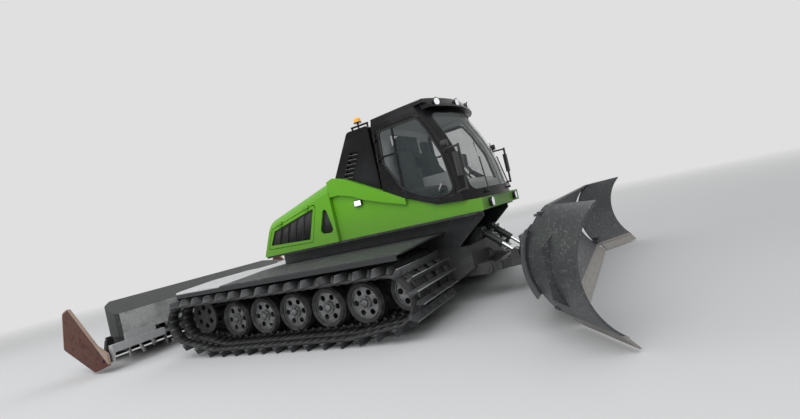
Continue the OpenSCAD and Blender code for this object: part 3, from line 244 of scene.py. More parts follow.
def mesh_object(name, points, faces, material, smooth=False):
    """Object from an array of points and arrays of corner numbers, one row a face. Where the volume, the sum
    of the triple products of the faces' triangles, is below zero, all faces are turned round."""
    mesh = bpy.data.meshes.new(name)
    groups = [np.asarray(f) for f in faces if len(f)]
    points = np.asarray(points, dtype=float)
    middle = points.mean(axis=0)
    volume = 0.0
    for g in groups:
        for k in range(1, g.shape[1] - 1):
            a, b, c = (points[g[:, corner]] - middle for corner in (0, k, k + 1))
            volume += np.sum(a * np.cross(b, c))
    if volume < 0:
        groups = [g[:, ::-1] for g in groups]
    corners = np.concatenate([g.ravel() for g in groups])
    sizes = np.concatenate([np.full(len(g), g.shape[1]) for g in groups])
    mesh.vertices.add(len(points))
    mesh.vertices.foreach_set("co", np.asarray(points, dtype=np.float32).ravel())
    mesh.loops.add(len(corners))
    mesh.loops.foreach_set("vertex_index", corners.astype(np.int32))
    mesh.polygons.add(len(sizes))
    mesh.polygons.foreach_set("loop_start", (np.cumsum(sizes) - sizes).astype(np.int32))
    mesh.update(calc_edges=True)
    mesh.validate()
    if smooth:
        mesh.polygons.foreach_set("use_smooth", np.ones(len(sizes), dtype=bool))
    made = bpy.data.objects.new(name, mesh)
    bpy.context.collection.objects.link(made)
    mesh.materials.append(material)
    return made


def weld(made):
    """Joins the points of an object that lie on one spot, such as the many at a pole."""
    work = bmesh.new()
    work.from_mesh(made.data)
    bmesh.ops.remove_doubles(work, verts=work.verts, dist=1e-6)
    work.to_mesh(made.data)
    work.free()
    return made


def grid_faces(rows, columns, closed=False):
    """Corner numbers of the faces of a grid of points whose columns run round a ring. closed also joins the
    last row to the first one."""
    i, j = np.meshgrid(np.arange(rows if closed else rows - 1), np.arange(columns), indexing="ij")
    top_vs_painted_shade, beyond = (i + 1) % rows, (j + 1) % columns
    return np.stack([i * columns + j, i * columns + beyond, top_vs_painted_shade * columns + beyond, top_vs_painted_shade * columns + j],
                    axis=-1).reshape(-1, 4)


def beside(flat, y):
    """Points in space from x, z pairs, whose x counts from AXLE, and their distance y from the middle."""
    return np.stack([flat[..., 0] + AXLE, np.broadcast_to(y, flat.shape[:-1]), flat[..., 1]], axis=-1)


def prisms(name, tops, bottoms, material):
    """One closed prism for each row: its outline's points in two arrays (rows, corners, 3)."""
    rows, corners = tops.shape[:2]
    points = np.concatenate([tops, bottoms], axis=1).reshape(-1, 3)
    start = (np.arange(rows) * 2 * corners)[:, None]
    ring = np.arange(corners)
    after = (ring + 1) % corners
    sides = np.stack([ring, ring + corners, after + corners, after], axis=-1)
    sides = (start[:, :, None] + sides[None]).reshape(-1, 4)
    caps = [start + ring[None], start + (ring[::-1] + corners)[None]]
    return mesh_object(name, points, [sides] + caps, material)


# The loop runs round the rearmost and the foremost road wheel, the idler in front and the sprocket
wheel_x, wheel_z = np.arange(5) * 0.6, 0.4003
idler_x, idler_z = 3.08, 0.48
sprocket_x, sprocket_z = -0.6, 0.52
track_mid, track_in, track_out = 1.475, 0.85, 2.1
belt_t = 0.025
hubs = np.array([[0, wheel_z], [2.4, wheel_z], [idler_x, idler_z], [sprocket_x, sprocket_z]])
radii = np.array([0.2853, 0.2853, 0.2703, 0.2603]) + belt_t
legs = np.roll(hubs, -1, axis=0) - hubs
spans = np.hypot(*legs.T)
normals = np.arctan2(legs[:, 1], legs[:, 0]) - np.arccos((radii - np.roll(radii, -1)) / spans)
sweeps = (normals - np.roll(normals, 1)) % (2 * np.pi)
arcs = radii * sweeps
straights = np.sqrt(spans ** 2 - (radii - np.roll(radii, -1)) ** 2)
around = float(np.sum(arcs + straights))


def on_belt(s):
    """Points, outward and forward directions on the belt's outer face, at lengths s round the loop:
    an arc about each hub, then the straight leg to the next one."""
    s = np.asarray(s) % around
    starts = np.concatenate([[0], np.cumsum(arcs + straights)])
    k = np.clip(np.searchsorted(starts, s, side="right") - 1, 0, 3)
    rest = s - starts[k]
    angle = np.roll(normals, 1)[k] + np.minimum(rest, arcs[k]) / radii[k]
    outward = np.stack([np.cos(angle), np.sin(angle)], axis=-1)
    forward = np.stack([-np.sin(angle), np.cos(angle)], axis=-1)
    straight = np.maximum(rest - arcs[k], 0)[:, None]
    return hubs[k] + radii[k, None] * outward + straight * forward, outward, forward


belt_finish = Finish("belt_rubber")
weave = belt_finish.noise(0.004, 2)
dust = belt_finish.noise(0.18, 5).rise(0.42, 0.72)
belt_rubber = belt_finish.surface(
    Base_Color=belt_finish.mix(dust, (0.012, 0.012, 0.013), (0.050, 0.050, 0.052)),
    Roughness=0.62 + 0.25 * dust,
    Normal=belt_finish.bump(weave, 0.0015, 0.5))
bar_finish = Finish("bar_aluminium")
scuff = bar_finish.noise(0.02, 5, stretch=(1, 0.15, 1))
grime = bar_finish.noise(0.12, 4).rise(0.35, 0.75)
bar_aluminium = bar_finish.surface(
    Base_Color=bar_finish.mix(grime, (0.105, 0.108, 0.112), (0.040, 0.040, 0.042)),
    Metallic=0.6 - 0.4 * grime, Specular_IOR_Level=0.3,
    Roughness=0.34 + 0.25 * scuff + 0.2 * grime,
    Normal=bar_finish.bump(scuff, 0.0008, 0.4))

crest_finish = Finish("bar_crest")
bright = crest_finish.noise(0.015, 4)
bar_crest = crest_finish.surface(
    Base_Color=crest_finish.mix(bright, (0.62, 0.63, 0.64), (0.36, 0.365, 0.37)),
    Metallic=0.9, Roughness=0.22 + 0.2 * bright)

bar_step = 0.13
bar_count = int(2 * round(around / bar_step / 2))
bar_s = np.arange(bar_count) * around / bar_count
# Belts, as the y of each belt's outer and inner edge from the track's outer side
belts = np.array([[0.03, 0.19], [0.26, 0.44], [0.545, 0.705], [0.81, 0.99], [1.06, 1.22]])
# Section of a bar, as distance along the belt and height over it
bar_section = np.array([[-.03, 0], [-.03, .008], [-.013, .016], [-.006, .09],
                        [.006, .09], [.013, .016], [.03, .008], [.03, 0]])
for side in (-1, 1):
    word = "left" if side > 0 else "right"
    s = np.linspace(0, around, 281)[:-1]
    at, outward, forward = on_belt(s)
    belt_points, belt_faces = [], []
    for first, last in belts:
        depth = np.array([0, 0, -belt_t, -belt_t])
        ys = side * (track_out - np.array([first, last, last, first]))
        ring = at[:, None, :] + depth[None, :, None] * outward[:, None, :]
        belt_faces.append(grid_faces(len(s), 4, closed=True) + sum(len(p) for p in belt_points))
        belt_points.append(beside(ring, ys).reshape(-1, 3))
    belt_piece = mesh_object(
        f"belts_{word}", np.concatenate(belt_points), [np.concatenate(belt_faces)], belt_rubber)
    at, outward, forward = on_belt(bar_s)
    level = np.where(np.arange(bar_count) % 2, 0.8, 1.0)[:, None, None]
    reach = np.where(np.arange(bar_count) % 2, 0.11, 0.0)[:, None]
    along, high = bar_section[:, 0][None, :, None], bar_section[:, 1][None, :, None] * level
    flat = at[:, None, :] + along * forward[:, None, :] + high * outward[:, None, :]
    # The ends slope in towards the bar's edge
    cut = np.maximum(bar_section[:, 1] - 0.012, 0)[None, :] * 0.5
    rings = [beside(flat, side * y) for y in (track_out - reach - cut, track_in + cut)]
    if side > 0:
        rings.reverse()
    bars = prisms(f"bars_{word}", rings[0], rings[1], bar_aluminium)
    # Steel plates inside the belts, under each bar, but for the middle belt that the tyres run on
    plate_half, plate_top, plate_foot = 0.024, 0.0005 - belt_t, -0.007 - belt_t
    plate = np.array([[-plate_half, plate_top], [-plate_half, plate_foot],
                      [plate_half, plate_foot], [plate_half, plate_top]])
    flat = at[:, None, :] + plate[None, :, :1] * forward[:, None, :] + plate[None, :, 1:] * outward[:, None, :]
    ends = [[], []]
    for first, last in belts[[0, 1, 3, 4]]:
        for rows, reach_in in zip(ends, (first + 0.012, last - 0.012)):
            rows.append(beside(flat, side * (track_out - reach_in)))
    plates = prisms(f"belt_plates_{word}", np.concatenate(ends[0]), np.concatenate(ends[1]), bar_aluminium)
    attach(plates, "root")
    # The bar's top edge, the fourth side of its section, is worn bright
    bars.data.materials.append(bar_crest)
    sides_of_bar = np.zeros(len(bars.data.polygons), dtype=np.int32)
    sides_of_bar[3:bar_count * len(bar_section):len(bar_section)] = 1
    bars.data.polygons.foreach_set("material_index", sides_of_bar)
    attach(belt_piece, "root")
    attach(bars, "root")
    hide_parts("tracks")


# Guide teeth: rubber wedges that are moulded on the belts' inner face, in two rows beside the tyres,
# which keep the track on its wheels.
for side in (-1, 1):
    word = "left" if side > 0 else "right"
    at, outward, forward = on_belt(bar_s)
    tooth = np.array([[-.03, .001], [-.014, .055], [.014, .055], [.03, .001]])
    sunk = (tooth[None, :, 1:] + belt_t - .002) * outward[:, None, :]
    flat = at[:, None, :] + tooth[None, :, :1] * forward[:, None, :] - sunk
    inner, outer = (np.concatenate([beside(flat, side * (track_mid + y + width)) for y in (-0.135, 0.117)])
                    for width in (0.0, 0.018))
    teeth = prisms(f"guide_teeth_{word}", inner, outer, belt_rubber)
    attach(teeth, "root")


# Road wheels and idlers: solid rubber tyres with worn treads on pressed rims with round holes,
# painted silver, which is toned down to a dark grey as painted shade under the tracks. Hub caps and wheel nuts
# stand on the outer side.
def turned(name, profile, centres, axis_y, material, steps=40):
    """Turned pieces, one at each centre: the profile's radius goes round the Y axis, its second column is
    the distance outwards from axis_y. The profile's first and last points lie on the axis."""
    profile = np.asarray(profile, dtype=float)
    angle = np.arange(steps) / steps * 2 * np.pi
    radius, reach = profile[:, 0], profile[:, 1]
    points, faces = [], []
    for x, z in centres:
        for side in (-1, 1):
            grid = np.stack([
                x + radius[:, None] * np.cos(angle), side * (axis_y + reach[:, None] + 0 * angle),
                z + radius[:, None] * np.sin(angle)], axis=-1)
            faces.append(grid_faces(len(profile), steps)[:, ::side] + sum(len(p) for p in points))
            points.append(grid.reshape(-1, 3))
    return weld(mesh_object(name, np.concatenate(points), [np.concatenate(faces)], material, smooth=True))


tyre_finish = Finish("tyre_rubber")
fine = tyre_finish.noise(0.006, 3)
mud = tyre_finish.noise(0.09, 5).rise(0.40, 0.75)
tyre_rubber = tyre_finish.surface(
    Base_Color=tyre_finish.mix(mud, (0.022, 0.022, 0.023), (0.10, 0.10, 0.10)),
    Roughness=0.6 + 0.3 * mud, Normal=tyre_finish.bump(fine, 0.001, 0.5))
paint_over(tyre_rubber, "tyres")

rim_finish = Finish("rim_silver")
grain = rim_finish.noise(0.003, 2)
chips = rim_finish.noise(0.035, 6).rise(0.60, 0.68)
film = rim_finish.noise(0.11, 4).rise(0.30, 0.80)
# The rims' silver is painted darker than it is, as painted shade under the tracks and fenders. The film patches on
# it are grime.
silver = rim_finish.mix(film, (0.29, 0.295, 0.30), (0.13, 0.13, 0.135))
rim_silver = rim_finish.surface(
    Base_Color=rim_finish.mix(chips, silver, (0.16, 0.13, 0.11)),
    Metallic=0.55 - 0.45 * chips, Roughness=0.36 + 0.25 * film, Normal=rim_finish.bump(grain, 0.0004, 0.3))
paint_over(rim_silver, "rims")

wheel_centres = [(x + AXLE, wheel_z) for x in wheel_x] + [(idler_x + AXLE, idler_z)]
cap_profile = [(0, 0.104), (0.03, 0.103), (0.046, 0.098), (0.052, 0.088), (0.052, 0.0785), (0, 0.0785)]
caps = turned("hub_caps", cap_profile, wheel_centres, track_mid, rim_silver)
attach(caps, "root")


def nuts(name, centres, normal, size, height, material):
    """Six-sided nuts that stand on their centres along one normal: a small hexagon prism at each."""
    normal = np.asarray(normal, dtype=float) / np.linalg.norm(normal)
    other = np.cross(normal, [0, 0, 1] if abs(normal[2]) < 0.9 else [1, 0, 0])
    other /= np.linalg.norm(other)
    third = np.cross(normal, other)
    angle = np.arange(6) / 6 * 2 * np.pi
    ring = size / 2 * (np.cos(angle)[:, None] * other + np.sin(angle)[:, None] * third)
    centres = np.asarray(centres, dtype=float)[:, None, :]
    return prisms(name, centres + ring + height * normal, centres + ring, material)


steel_finish = Finish("zinc_steel")
fleck = steel_finish.noise(0.01, 3)
zinc_steel = steel_finish.surface(
    Base_Color=steel_finish.mix(fleck, (0.42, 0.42, 0.41), (0.24, 0.235, 0.22)),
    Metallic=0.85, Roughness=0.35 + 0.2 * fleck, Normal=steel_finish.bump(fleck, 0.0004, 0.3))
turn = (np.arange(8) + 0.5) / 8 * 2 * np.pi
bolt_circle = 0.068
for side in (-1, 1):
    word = "left" if side > 0 else "right"
    spots = [(x + bolt_circle * math.cos(a), side * (track_mid + 0.0775), z + bolt_circle * math.sin(a))
             for x, z in wheel_centres for a in turn]
    wheel_nuts = nuts(f"wheel_nuts_{word}", spots, (0, side, 0), 0.019, 0.012, zinc_steel)
    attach(wheel_nuts, "root")

sprocket_finish = Finish("sprocket_plastic")
nicks = sprocket_finish.noise(0.015, 5)
sprocket_plastic = sprocket_finish.surface(
    Base_Color=sprocket_finish.mix(nicks, (0.035, 0.035, 0.038), (0.10, 0.10, 0.10)),
    Roughness=0.45 + 0.25 * nicks, Normal=sprocket_finish.bump(nicks, 0.001, 0.4))
paint_over(sprocket_plastic, "sprockets")


# Chassis: welded steel tub, wheel arms and the frames of blade and tiller, in satin dark grey paint
# with scuffs, rust at the edges of the chips and a film of road grime low down.
def dark_paint(name, low, high):
    """Satin dark paint whose grime fades out from height low to height high."""
    f = Finish(name)
    cloud = f.noise(0.22, 5)
    peel = f.noise(0.004, 2)
    chip = f.noise(0.03, 7).rise(0.655, 0.69)
    grime = (1 - f.z.rise(low, high)) * 0.5 + cloud.rise(0.45, 0.8) * 0.35
    colour = f.mix(grime, (0.030, 0.032, 0.035), (0.115, 0.115, 0.112))
    return f.surface(
        Base_Color=f.mix(chip, colour, (0.15, 0.12, 0.10)), Metallic=0.35 - 0.3 * grime,
        Roughness=0.38 + 0.4 * grime, Normal=f.bump(peel, 0.0006, 0.35))


chassis_paint = dark_paint("chassis_paint", 0.3, 1.0)
paint_over(chassis_paint, "tub", "tow_eyes", "deck_frame", "axles", "push_frame", "blade_carrier", "tiller_arm",
           "lift_barrels", "tiller_barrels")

engine_finish = Finish("engine_block")
cast = engine_finish.noise(0.008, 4)
oil = engine_finish.noise(0.12, 4).rise(0.45, 0.75)
engine_block = engine_finish.surface(
    Base_Color=engine_finish.mix(oil, (0.16, 0.16, 0.165), (0.05, 0.045, 0.04)),
    Metallic=0.5, Roughness=0.62 - 0.25 * oil, Normal=engine_finish.bump(cast, 0.002, 0.6))
paint_over(engine_block, "engine")

rod_finish = Finish("chrome_rod")
smear = rod_finish.noise(0.05, 3)
chrome_rod = rod_finish.surface(
    Base_Color=rod_finish.mix(smear, (0.78, 0.78, 0.79), (0.62, 0.62, 0.62)),
    Metallic=1.0, Roughness=0.10 + 0.12 * smear)
paint_over(chrome_rod, "lift_rods", "tiller_rods")


# Platform over the tracks: pale worn chequer plate at the rear, dark grey from the hood's corner on,
# and black below its top face, which is painted shade on the lip and under the deck's edge. The ragged rubber flaps
# hang from its rear edge.
deck = Finish("deck_paint")
tilt = deck.node("ShaderNodeMapping", {}, deck.place, Rotation=(0, 0, math.radians(45)))
tread = deck.node("ShaderNodeTexChecker", {}, tilt, Scale=22.0, take=1)
slot_a, slot_b = (
    deck.node("ShaderNodeTexWave", {"bands_direction": way}, tilt, Scale=9.0, take=1) for way in "XY")
ridges = tread * slot_a.rise(0.75, 0.9) + (1 - tread) * slot_b.rise(0.75, 0.9)
wear = deck.noise(0.045, 6, stretch=(0.35, 1, 1))
scrape = deck.noise(0.05, 5, stretch=(0.3, 1, 1))
pale = deck.mix(wear.rise(0.50, 0.75), (0.60, 0.61, 0.62), (0.38, 0.39, 0.40))
dark = deck.mix(scrape.rise(0.50, 0.75), (0.055, 0.057, 0.060), (0.14, 0.14, 0.145))
two_tone = deck.mix(deck.x.rise(0.345 + AXLE, 0.355 + AXLE), pale, dark)
# The top falls outwards by 40 mm from 1.15 m off the middle
slope = (deck.y.math("ABSOLUTE") - 1.15).math("MAXIMUM", 0.0) * (0.04 / 0.85)
# Below its top face the deck is black: painted shade on the lip and under the deck's edge.
top_vs_painted_shade = (deck.z + slope).rise(1.003, 1.02)
deck_paint = deck.surface(
    Base_Color=deck.mix(top_vs_painted_shade, (0.030, 0.031, 0.033), two_tone),
    Roughness=0.52 + 0.25 * wear, Metallic=0.25,
    Normal=deck.bump(ridges * top_vs_painted_shade, 0.003, 0.7))
paint_over(deck_paint, "platform")

flap_finish = Finish("flap_rubber")
rib = flap_finish.noise(0.02, 4, stretch=(1, 1, 0.2))
soil = flap_finish.noise(0.08, 5).rise(0.4, 0.7)
flap_rubber = flap_finish.surface(
    Base_Color=flap_finish.mix(soil, (0.018, 0.018, 0.019), (0.09, 0.09, 0.09)), Roughness=0.7 + 0.2 * soil,
    Normal=flap_finish.bump(rib, 0.002, 0.6))
paint_over(flap_rubber, "mudflaps")


# Hood, body and service doors: glass-fibre panels in gloss green, a little darker towards the sills,
# with a thin film of dirt low down. The grille area of the service doors is matt black.
def from_line(f, first, last):
    """Distance of each point of a finish from the line through two x, z points: the cross product of the
    way to it and the line's direction, above zero on one side."""
    (px, pz), (qx, qz) = first, last
    dx, dz = np.array([qx - px, qz - pz]) / math.hypot(qx - px, qz - pz)
    return (f.x - (px + AXLE)) * dz - (f.z - pz) * dx


def green_paint(name, black_area=False):
    """Gloss green paint. black_area darkens the slanting grille field of a service door."""
    f = Finish(name)
    peel = f.noise(0.006, 2)
    cloud = f.noise(0.5, 4)
    streak = f.noise(0.09, 5, stretch=(1, 1, 0.25))
    film = (1 - f.z.rise(1.25, 1.75)) * 0.30 + streak.rise(0.55, 0.85) * 0.16
    colour = f.mix(cloud, (0.105, 0.360, 0.010), (0.145, 0.430, 0.016))
    colour = f.mix(film, colour, (0.115, 0.175, 0.070))
    rough = 0.20 + 0.45 * film
    field = None
    if black_area:
        # Inside all four straight edges of the grille field, which run clockwise
        corners = ((0.610, 1.580), (1.460, 1.770), (1.280, 1.330), (0.480, 1.370))
        for first, last in zip(corners, corners[1:] + corners[:1]):
            inside = from_line(f, first, last).rise(-0.0015, 0.0015)
            field = inside if field is None else field * inside
        colour = f.mix(field, colour, (0.016, 0.016, 0.017))
        rough = rough + 0.35 * field
    return f.surface(
        Base_Color=colour, Roughness=rough + 0.14, Coat_Weight=0.16 - 0.3 * film, Coat_Roughness=0.20,
        Specular_IOR_Level=0.22, Normal=f.bump(peel, 0.0004, 0.25))


body_green = green_paint("body_green")
door_green = green_paint("service_door_green", black_area=True)
paint_over(body_green, "hood", "body")
paint_over(door_green, "hood_door_left", "hood_door_right")


# Woven wire behind the grille bars and in the rounded side opening: one thin sheet with a mesh pattern
# in each, held inside the panel, near black between the wires as painted shade of the dark space behind. The
# grille's sheet swings with its service door.
wire_finish = Finish("mesh_with_painted_shade")
wires = wire_finish.waves("X", 26.0).math("MAXIMUM", wire_finish.waves("Z", 26.0)).rise(0.55, 0.8)
# Between the wires the sheet is near black: painted shade of the space behind the mesh.
mesh_with_painted_shade = wire_finish.surface(
    Base_Color=wire_finish.mix(wires, (0.006, 0.006, 0.007), (0.045, 0.045, 0.047)),
    Roughness=0.5, Metallic=0.3, Normal=wire_finish.bump(wires, 0.002, 0.8))
grille_corners = np.array([(.59, 1.597), (1.48, 1.795), (1.298, 1.315), (.455, 1.355)])
side_corners = np.array([(1.672, 1.84), (1.775, 1.34), (1.46, 1.352)])
for side in (-1, 1):
    word = "left" if side > 0 else "right"
    for name, body, corners, depth in (
        (f"grille_sheet_{word}", f"service_door_{word}", grille_corners, (0.9775, 0.9755)),
        (f"side_sheet_{word}", "root", side_corners, (0.9585, 0.9565)),
    ):
        sheets = [beside(corners, side * d)[None] for d in depth]
        sheet = prisms(name, sheets[0], sheets[1], mesh_with_painted_shade)
        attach(sheet, body)


# Towers and cab: gloss black panels over a steel frame, with soft reflections and a light film of dust.
# Inside, the cab is lined with pale grey felt.
cab_lean = math.atan2(0.105, 1.3)
screen_axis = 2.14 + AXLE


def wall_y(z):
    """Half width of the cab at height z: 0.985 m at 1.4 m, less the lean's tangent for each metre above."""
    return 0.985 - (z - 1.4) * math.tan(cab_lean)


def screen_r(z):
    """Windscreen's distance from its upright axis at height z: 1.92 m, less the sag of an arc of 2.6 m
    whose middle is at 1.3 m."""
    return 1.92 - (2.6 - (2.6 ** 2 - (z - 1.3) ** 2) ** 0.5)


def gloss_black(name, lined=False):
    """Gloss black paint. lined: pale felt from 14 mm inside the cab's walls, screen and roof."""
    f = Finish(name)
    peel = f.noise(0.006, 2)
    dusty = f.noise(0.35, 5).rise(0.35, 0.8)
    streaks = f.noise(0.06, 5, stretch=(1, 1, 0.15)).rise(0.5, 0.8)
    colour = f.mix(0.5 * dusty + 0.3 * streaks, (0.004, 0.004, 0.005), (0.022, 0.023, 0.025))
    rough, gloss = 0.26 + 0.22 * dusty, 0.06
    if lined:
        wall = wall_y(f.z) - f.y.math("ABSOLUTE")
        front = screen_r(f.z) - ((f.x - screen_axis) ** 2 + f.y ** 2) ** 0.5
        back = f.x - (2.68 + AXLE)
        felt = 1 - f.z.rise(2.702, 2.706)
        for depth in (wall, front, back):
            felt = felt * depth.rise(0.012, 0.016)
        colour = f.mix(felt, colour, (0.72, 0.73, 0.73))
        rough = rough + 0.5 * felt
        gloss = gloss - gloss * felt
    return f.surface(
        Base_Color=colour, Roughness=rough, Coat_Weight=gloss, Coat_Roughness=0.10, Specular_IOR_Level=0.16,
        Normal=f.bump(peel, 0.0004, 0.25))


cab_black = gloss_black("cab_black")
lined_black = gloss_black("cab_black_lined", lined=True)
paint_over(cab_black, "towers", "door_left", "door_right")
paint_over(lined_black, "cab_shell", "roof")


# Glass: tinted panes, curved in front and flat in the doors, that are clear enough to show the seats
# and the dash behind them, with a faint film of dust.
pane = Finish("tinted_glass")
film = pane.noise(0.25, 4).rise(0.45, 0.9)
tinted_glass = pane.surface(
    Base_Color=(0.060, 0.080, 0.085), Roughness=0.03 + 0.08 * film, Alpha=0.20 + 0.08 * film,
    Specular_IOR_Level=0.5)
paint_over(tinted_glass, "cab_glass", "door_glass_left", "door_glass_right")


# Rubber seals round the windscreen and the doors' panes: a soft black bead that follows each one's outline
# on the cab's skin, pressed into its rim. The doors' handles are bent steel grips on two feet.
def rounded(rows, steps=6):
    """Outline with rounded corners, from rows of x, z, radius: an arc touches both edges at each corner."""
    out = []
    pts = np.array([r[:2] for r in rows], dtype=float)
    for k, (x, z, r) in enumerate(rows):
        b = pts[k]
        u, v = pts[k - 1] - b, pts[(k + 1) % len(pts)] - b
        u, v = u / np.hypot(*u), v / np.hypot(*v)
        half = math.acos(float(np.clip(u @ v, -1, 1))) / 2
        mid = b + (u + v) / np.hypot(*(u + v)) * r / math.sin(half)
        p, q = b + u * r / math.tan(half) - mid, b + v * r / math.tan(half) - mid
        a0 = math.atan2(p[1], p[0])
        sweep = (math.atan2(q[1], q[0]) - a0 + math.pi) % (2 * math.pi) - math.pi
        a = a0 + sweep * np.linspace(0, 1, steps)
        out.append(mid + r * np.stack([np.cos(a), np.sin(a)], axis=-1))
    return np.concatenate(out)


def inward(rows, gap):
    """Outline whose corners move in along their own bisectors until its edges lie gap further in."""
    pts = np.array([r[:2] for r in rows], dtype=float)
    u, v = np.roll(pts, 1, axis=0) - pts, np.roll(pts, -1, axis=0) - pts
    u /= np.hypot(*u.T)[:, None]
    v /= np.hypot(*v.T)[:, None]
    half = np.arccos(np.clip(np.sum(u * v, axis=1), -1, 1)) / 2
    way = (u + v) / np.hypot(*(u + v).T)[:, None]
    moved = pts + way * (gap / np.sin(half))[:, None]
    return [(x, z, r[2]) for (x, z), r in zip(moved, rows)]


def tube(name, path, radius, material, closed=False, sides=10, samples=6):
    """Round bar along a smooth curve: Catmull-Rom between the path's points, a circle square to it at each."""
    path = np.asarray(path, dtype=float)
    if closed:
        before, at, after, last = (np.roll(path, k, axis=0) for k in (1, 0, -1, -2))
    else:
        grown = np.concatenate([[2 * path[0] - path[1]], path, [2 * path[-1] - path[-2]]])
        before, at, after, last = grown[:-3], grown[1:-2], grown[2:-1], grown[3:]
    t = (np.arange(samples) / samples)[None, :, None]
    b, p, q, l = (a[:, None, :] for a in (before, at, after, last))
    line = 0.5 * (2 * p + (q - b) * t + (2 * b - 5 * p + 4 * q - l) * t ** 2 + (3 * p - b - 3 * q + l) * t ** 3)
    line = line.reshape(-1, 3)
    if not closed:
        line = np.concatenate([line, path[-1:]])
    ahead_of = np.roll(line, -1, axis=0) - np.roll(line, 1, axis=0)
    if not closed:
        ahead_of[0], ahead_of[-1] = line[1] - line[0], line[-1] - line[-2]
    ahead_of /= np.linalg.norm(ahead_of, axis=1)[:, None]
    spread = np.abs(ahead_of).max(axis=0)
    helper = np.eye(3)[int(np.argmin(spread))]
    first = np.cross(ahead_of, helper)
    first /= np.linalg.norm(first, axis=1)[:, None]
    second = np.cross(ahead_of, first)
    angle = np.arange(sides) / sides * 2 * np.pi
    grid = line[:, None, :] + radius * (np.cos(angle)[None, :, None] * first[:, None, :]
                                        + np.sin(angle)[None, :, None] * second[:, None, :])
    faces = [grid_faces(len(line), sides, closed)]
    if not closed:
        faces += [np.arange(sides)[::-1][None], (np.arange(sides) + (len(line) - 1) * sides)[None]]
    return mesh_object(name, grid.reshape(-1, 3), faces, material, smooth=True)


seal_finish = Finish("seal_rubber")
seal_rubber = seal_finish.surface(
    Base_Color=seal_finish.mix(seal_finish.noise(0.03, 3), (0.010, 0.010, 0.010), (0.030, 0.030, 0.030)),
    Roughness=0.6, Normal=seal_finish.bump(seal_finish.noise(0.004, 2), 0.0006, 0.4))
door_rows = [(2.742, 2.590, .06), (2.732, 2.110, .07), (2.965, 1.690, .06), (3.210, 1.545, .15),
             (3.470, 1.462, .12), (3.735, 1.490, .09), (3.655, 2.020, .40), (3.500, 2.400, .40),
             (3.385, 2.600, .06)]


def on_side_wall(flat, side, out):
    """Puts an x, z outline on the cab's leaning side wall, standing out by a distance square to it."""
    return beside(flat, side * (wall_y(flat[:, 1]) + out / math.cos(cab_lean)))


def on_screen(angle, z, out):
    """Point on the windscreen's barrel: at an angle about its upright axis, screen_r(z) and out from it."""
    r = screen_r(z) + out
    return np.stack([screen_axis + r * np.cos(angle), r * np.sin(angle), z + 0 * angle], axis=-1)


for side in (-1, 1):
    word = "left" if side > 0 else "right"
    inner = rounded(inward(door_rows, 0.034))
    bead = tube(f"door_seal_{word}", on_side_wall(inner, side, -0.004), 0.008, seal_rubber,
                closed=True, sides=8, samples=2)
    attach(bead, f"cab_door_{word}")
    # Door handle: a bent grip on two feet
    grip = np.array([[3.505, 1.560], [3.515, 1.575], [3.560, 1.640], [3.575, 1.665]])
    out = np.array([-0.012, 0.042, 0.042, -0.012])
    handle = tube(f"door_handle_{word}", beside(grip, side * (wall_y(grip[:, 1]) + out)), 0.011,
                  zinc_steel, samples=5)
    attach(handle, f"cab_door_{word}")
edge = rounded([(-.835, 1.48, .11), (.835, 1.48, .11), (.775, 2.6, .13), (-.775, 2.6, .13)], steps=8)
# Three points more between each two, so that the bead follows the curved screen
leg = np.roll(edge, -1, axis=0) - edge
across, height = np.stack([edge + leg * k / 4 for k in range(4)], axis=1).reshape(-1, 2).T
screen_seal = tube("screen_seal", on_screen(np.arcsin(across / screen_r(height)), height, -0.004), 0.009,
                   seal_rubber, closed=True, sides=8, samples=1)
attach(screen_seal, "root")


# Cab interior. Two sprung seats with moulded foam cushions in dark cloth, a dash with a screen, a
# steering wheel, and a joystick on the console between the seats. The headlining is pale grey.
cloth = Finish("seat_cloth")
thread_a = cloth.waves("DIAGONAL", 160.0)
thread_b = cloth.noise(0.003, 2)
fade = cloth.noise(0.12, 3)
seat_cloth = cloth.surface(
    Base_Color=cloth.mix(fade, (0.018, 0.019, 0.021), (0.040, 0.042, 0.045)), Roughness=0.88, Sheen_Weight=0.1,
    Normal=cloth.bump(thread_a * 0.5 + thread_b, 0.0012, 0.6))


def moulded(name, first, second):
    """Matt plastic with a pebbled grain, between two tones."""
    f = Finish(name)
    rub = f.noise(0.1, 4)
    return f.surface(
        Base_Color=f.mix(rub, first, second), Roughness=0.55 + 0.2 * rub,
        Normal=f.bump(f.cells(0.004), 0.0006, 0.4))


dash_plastic = moulded("dash_plastic", (0.040, 0.041, 0.044), (0.075, 0.076, 0.080))
pale_plastic = moulded("pale_plastic", (0.68, 0.69, 0.69), (0.55, 0.56, 0.56))
paint_over(pale_plastic, "console")


def power(w, e):
    """Signed power: the size of w to the power e, with the sign of w."""
    return np.sign(w) * np.abs(w) ** e


def pad(name, middle, half, lean, crown, material, channels=0, bolster=0.0):
    """Closed cushion. A superellipsoid on angles u and v: each half size times a signed power of the cosine
    and sine, its top crowned, its sides raised by bolster, and channels pressed across it."""
    u = np.linspace(0, 2 * np.pi, 49)[:-1]
    v = np.linspace(-np.pi / 2, np.pi / 2, 27)
    uu, vv = np.meshgrid(u, v)
    x = power(np.cos(uu), 0.35) * power(np.cos(vv), 0.45)
    y = power(np.sin(uu), 0.35) * power(np.cos(vv), 0.45)
    z = power(np.sin(vv), 0.55)
    pressed = 0.05 * np.cos(channels * np.pi * x) ** 8 * (z > 0.2) * (channels > 0)
    rise = crown * (1 - x ** 2) * (1 - y ** 2) + bolster * y ** 4 - pressed
    z = z * (1 + rise)
    local = np.stack([x * half[0], y * half[1], z * half[2]], axis=-1)
    c, s = math.cos(lean), math.sin(lean)
    turned_x = local[..., 0] * c + local[..., 2] * s
    turned_z = -local[..., 0] * s + local[..., 2] * c
    grid = np.stack([turned_x + middle[0], local[..., 1] + middle[1], turned_z + middle[2]], axis=-1)
    return weld(mesh_object(name, grid.reshape(-1, 3), [grid_faces(*grid.shape[:2])], material, smooth=True))


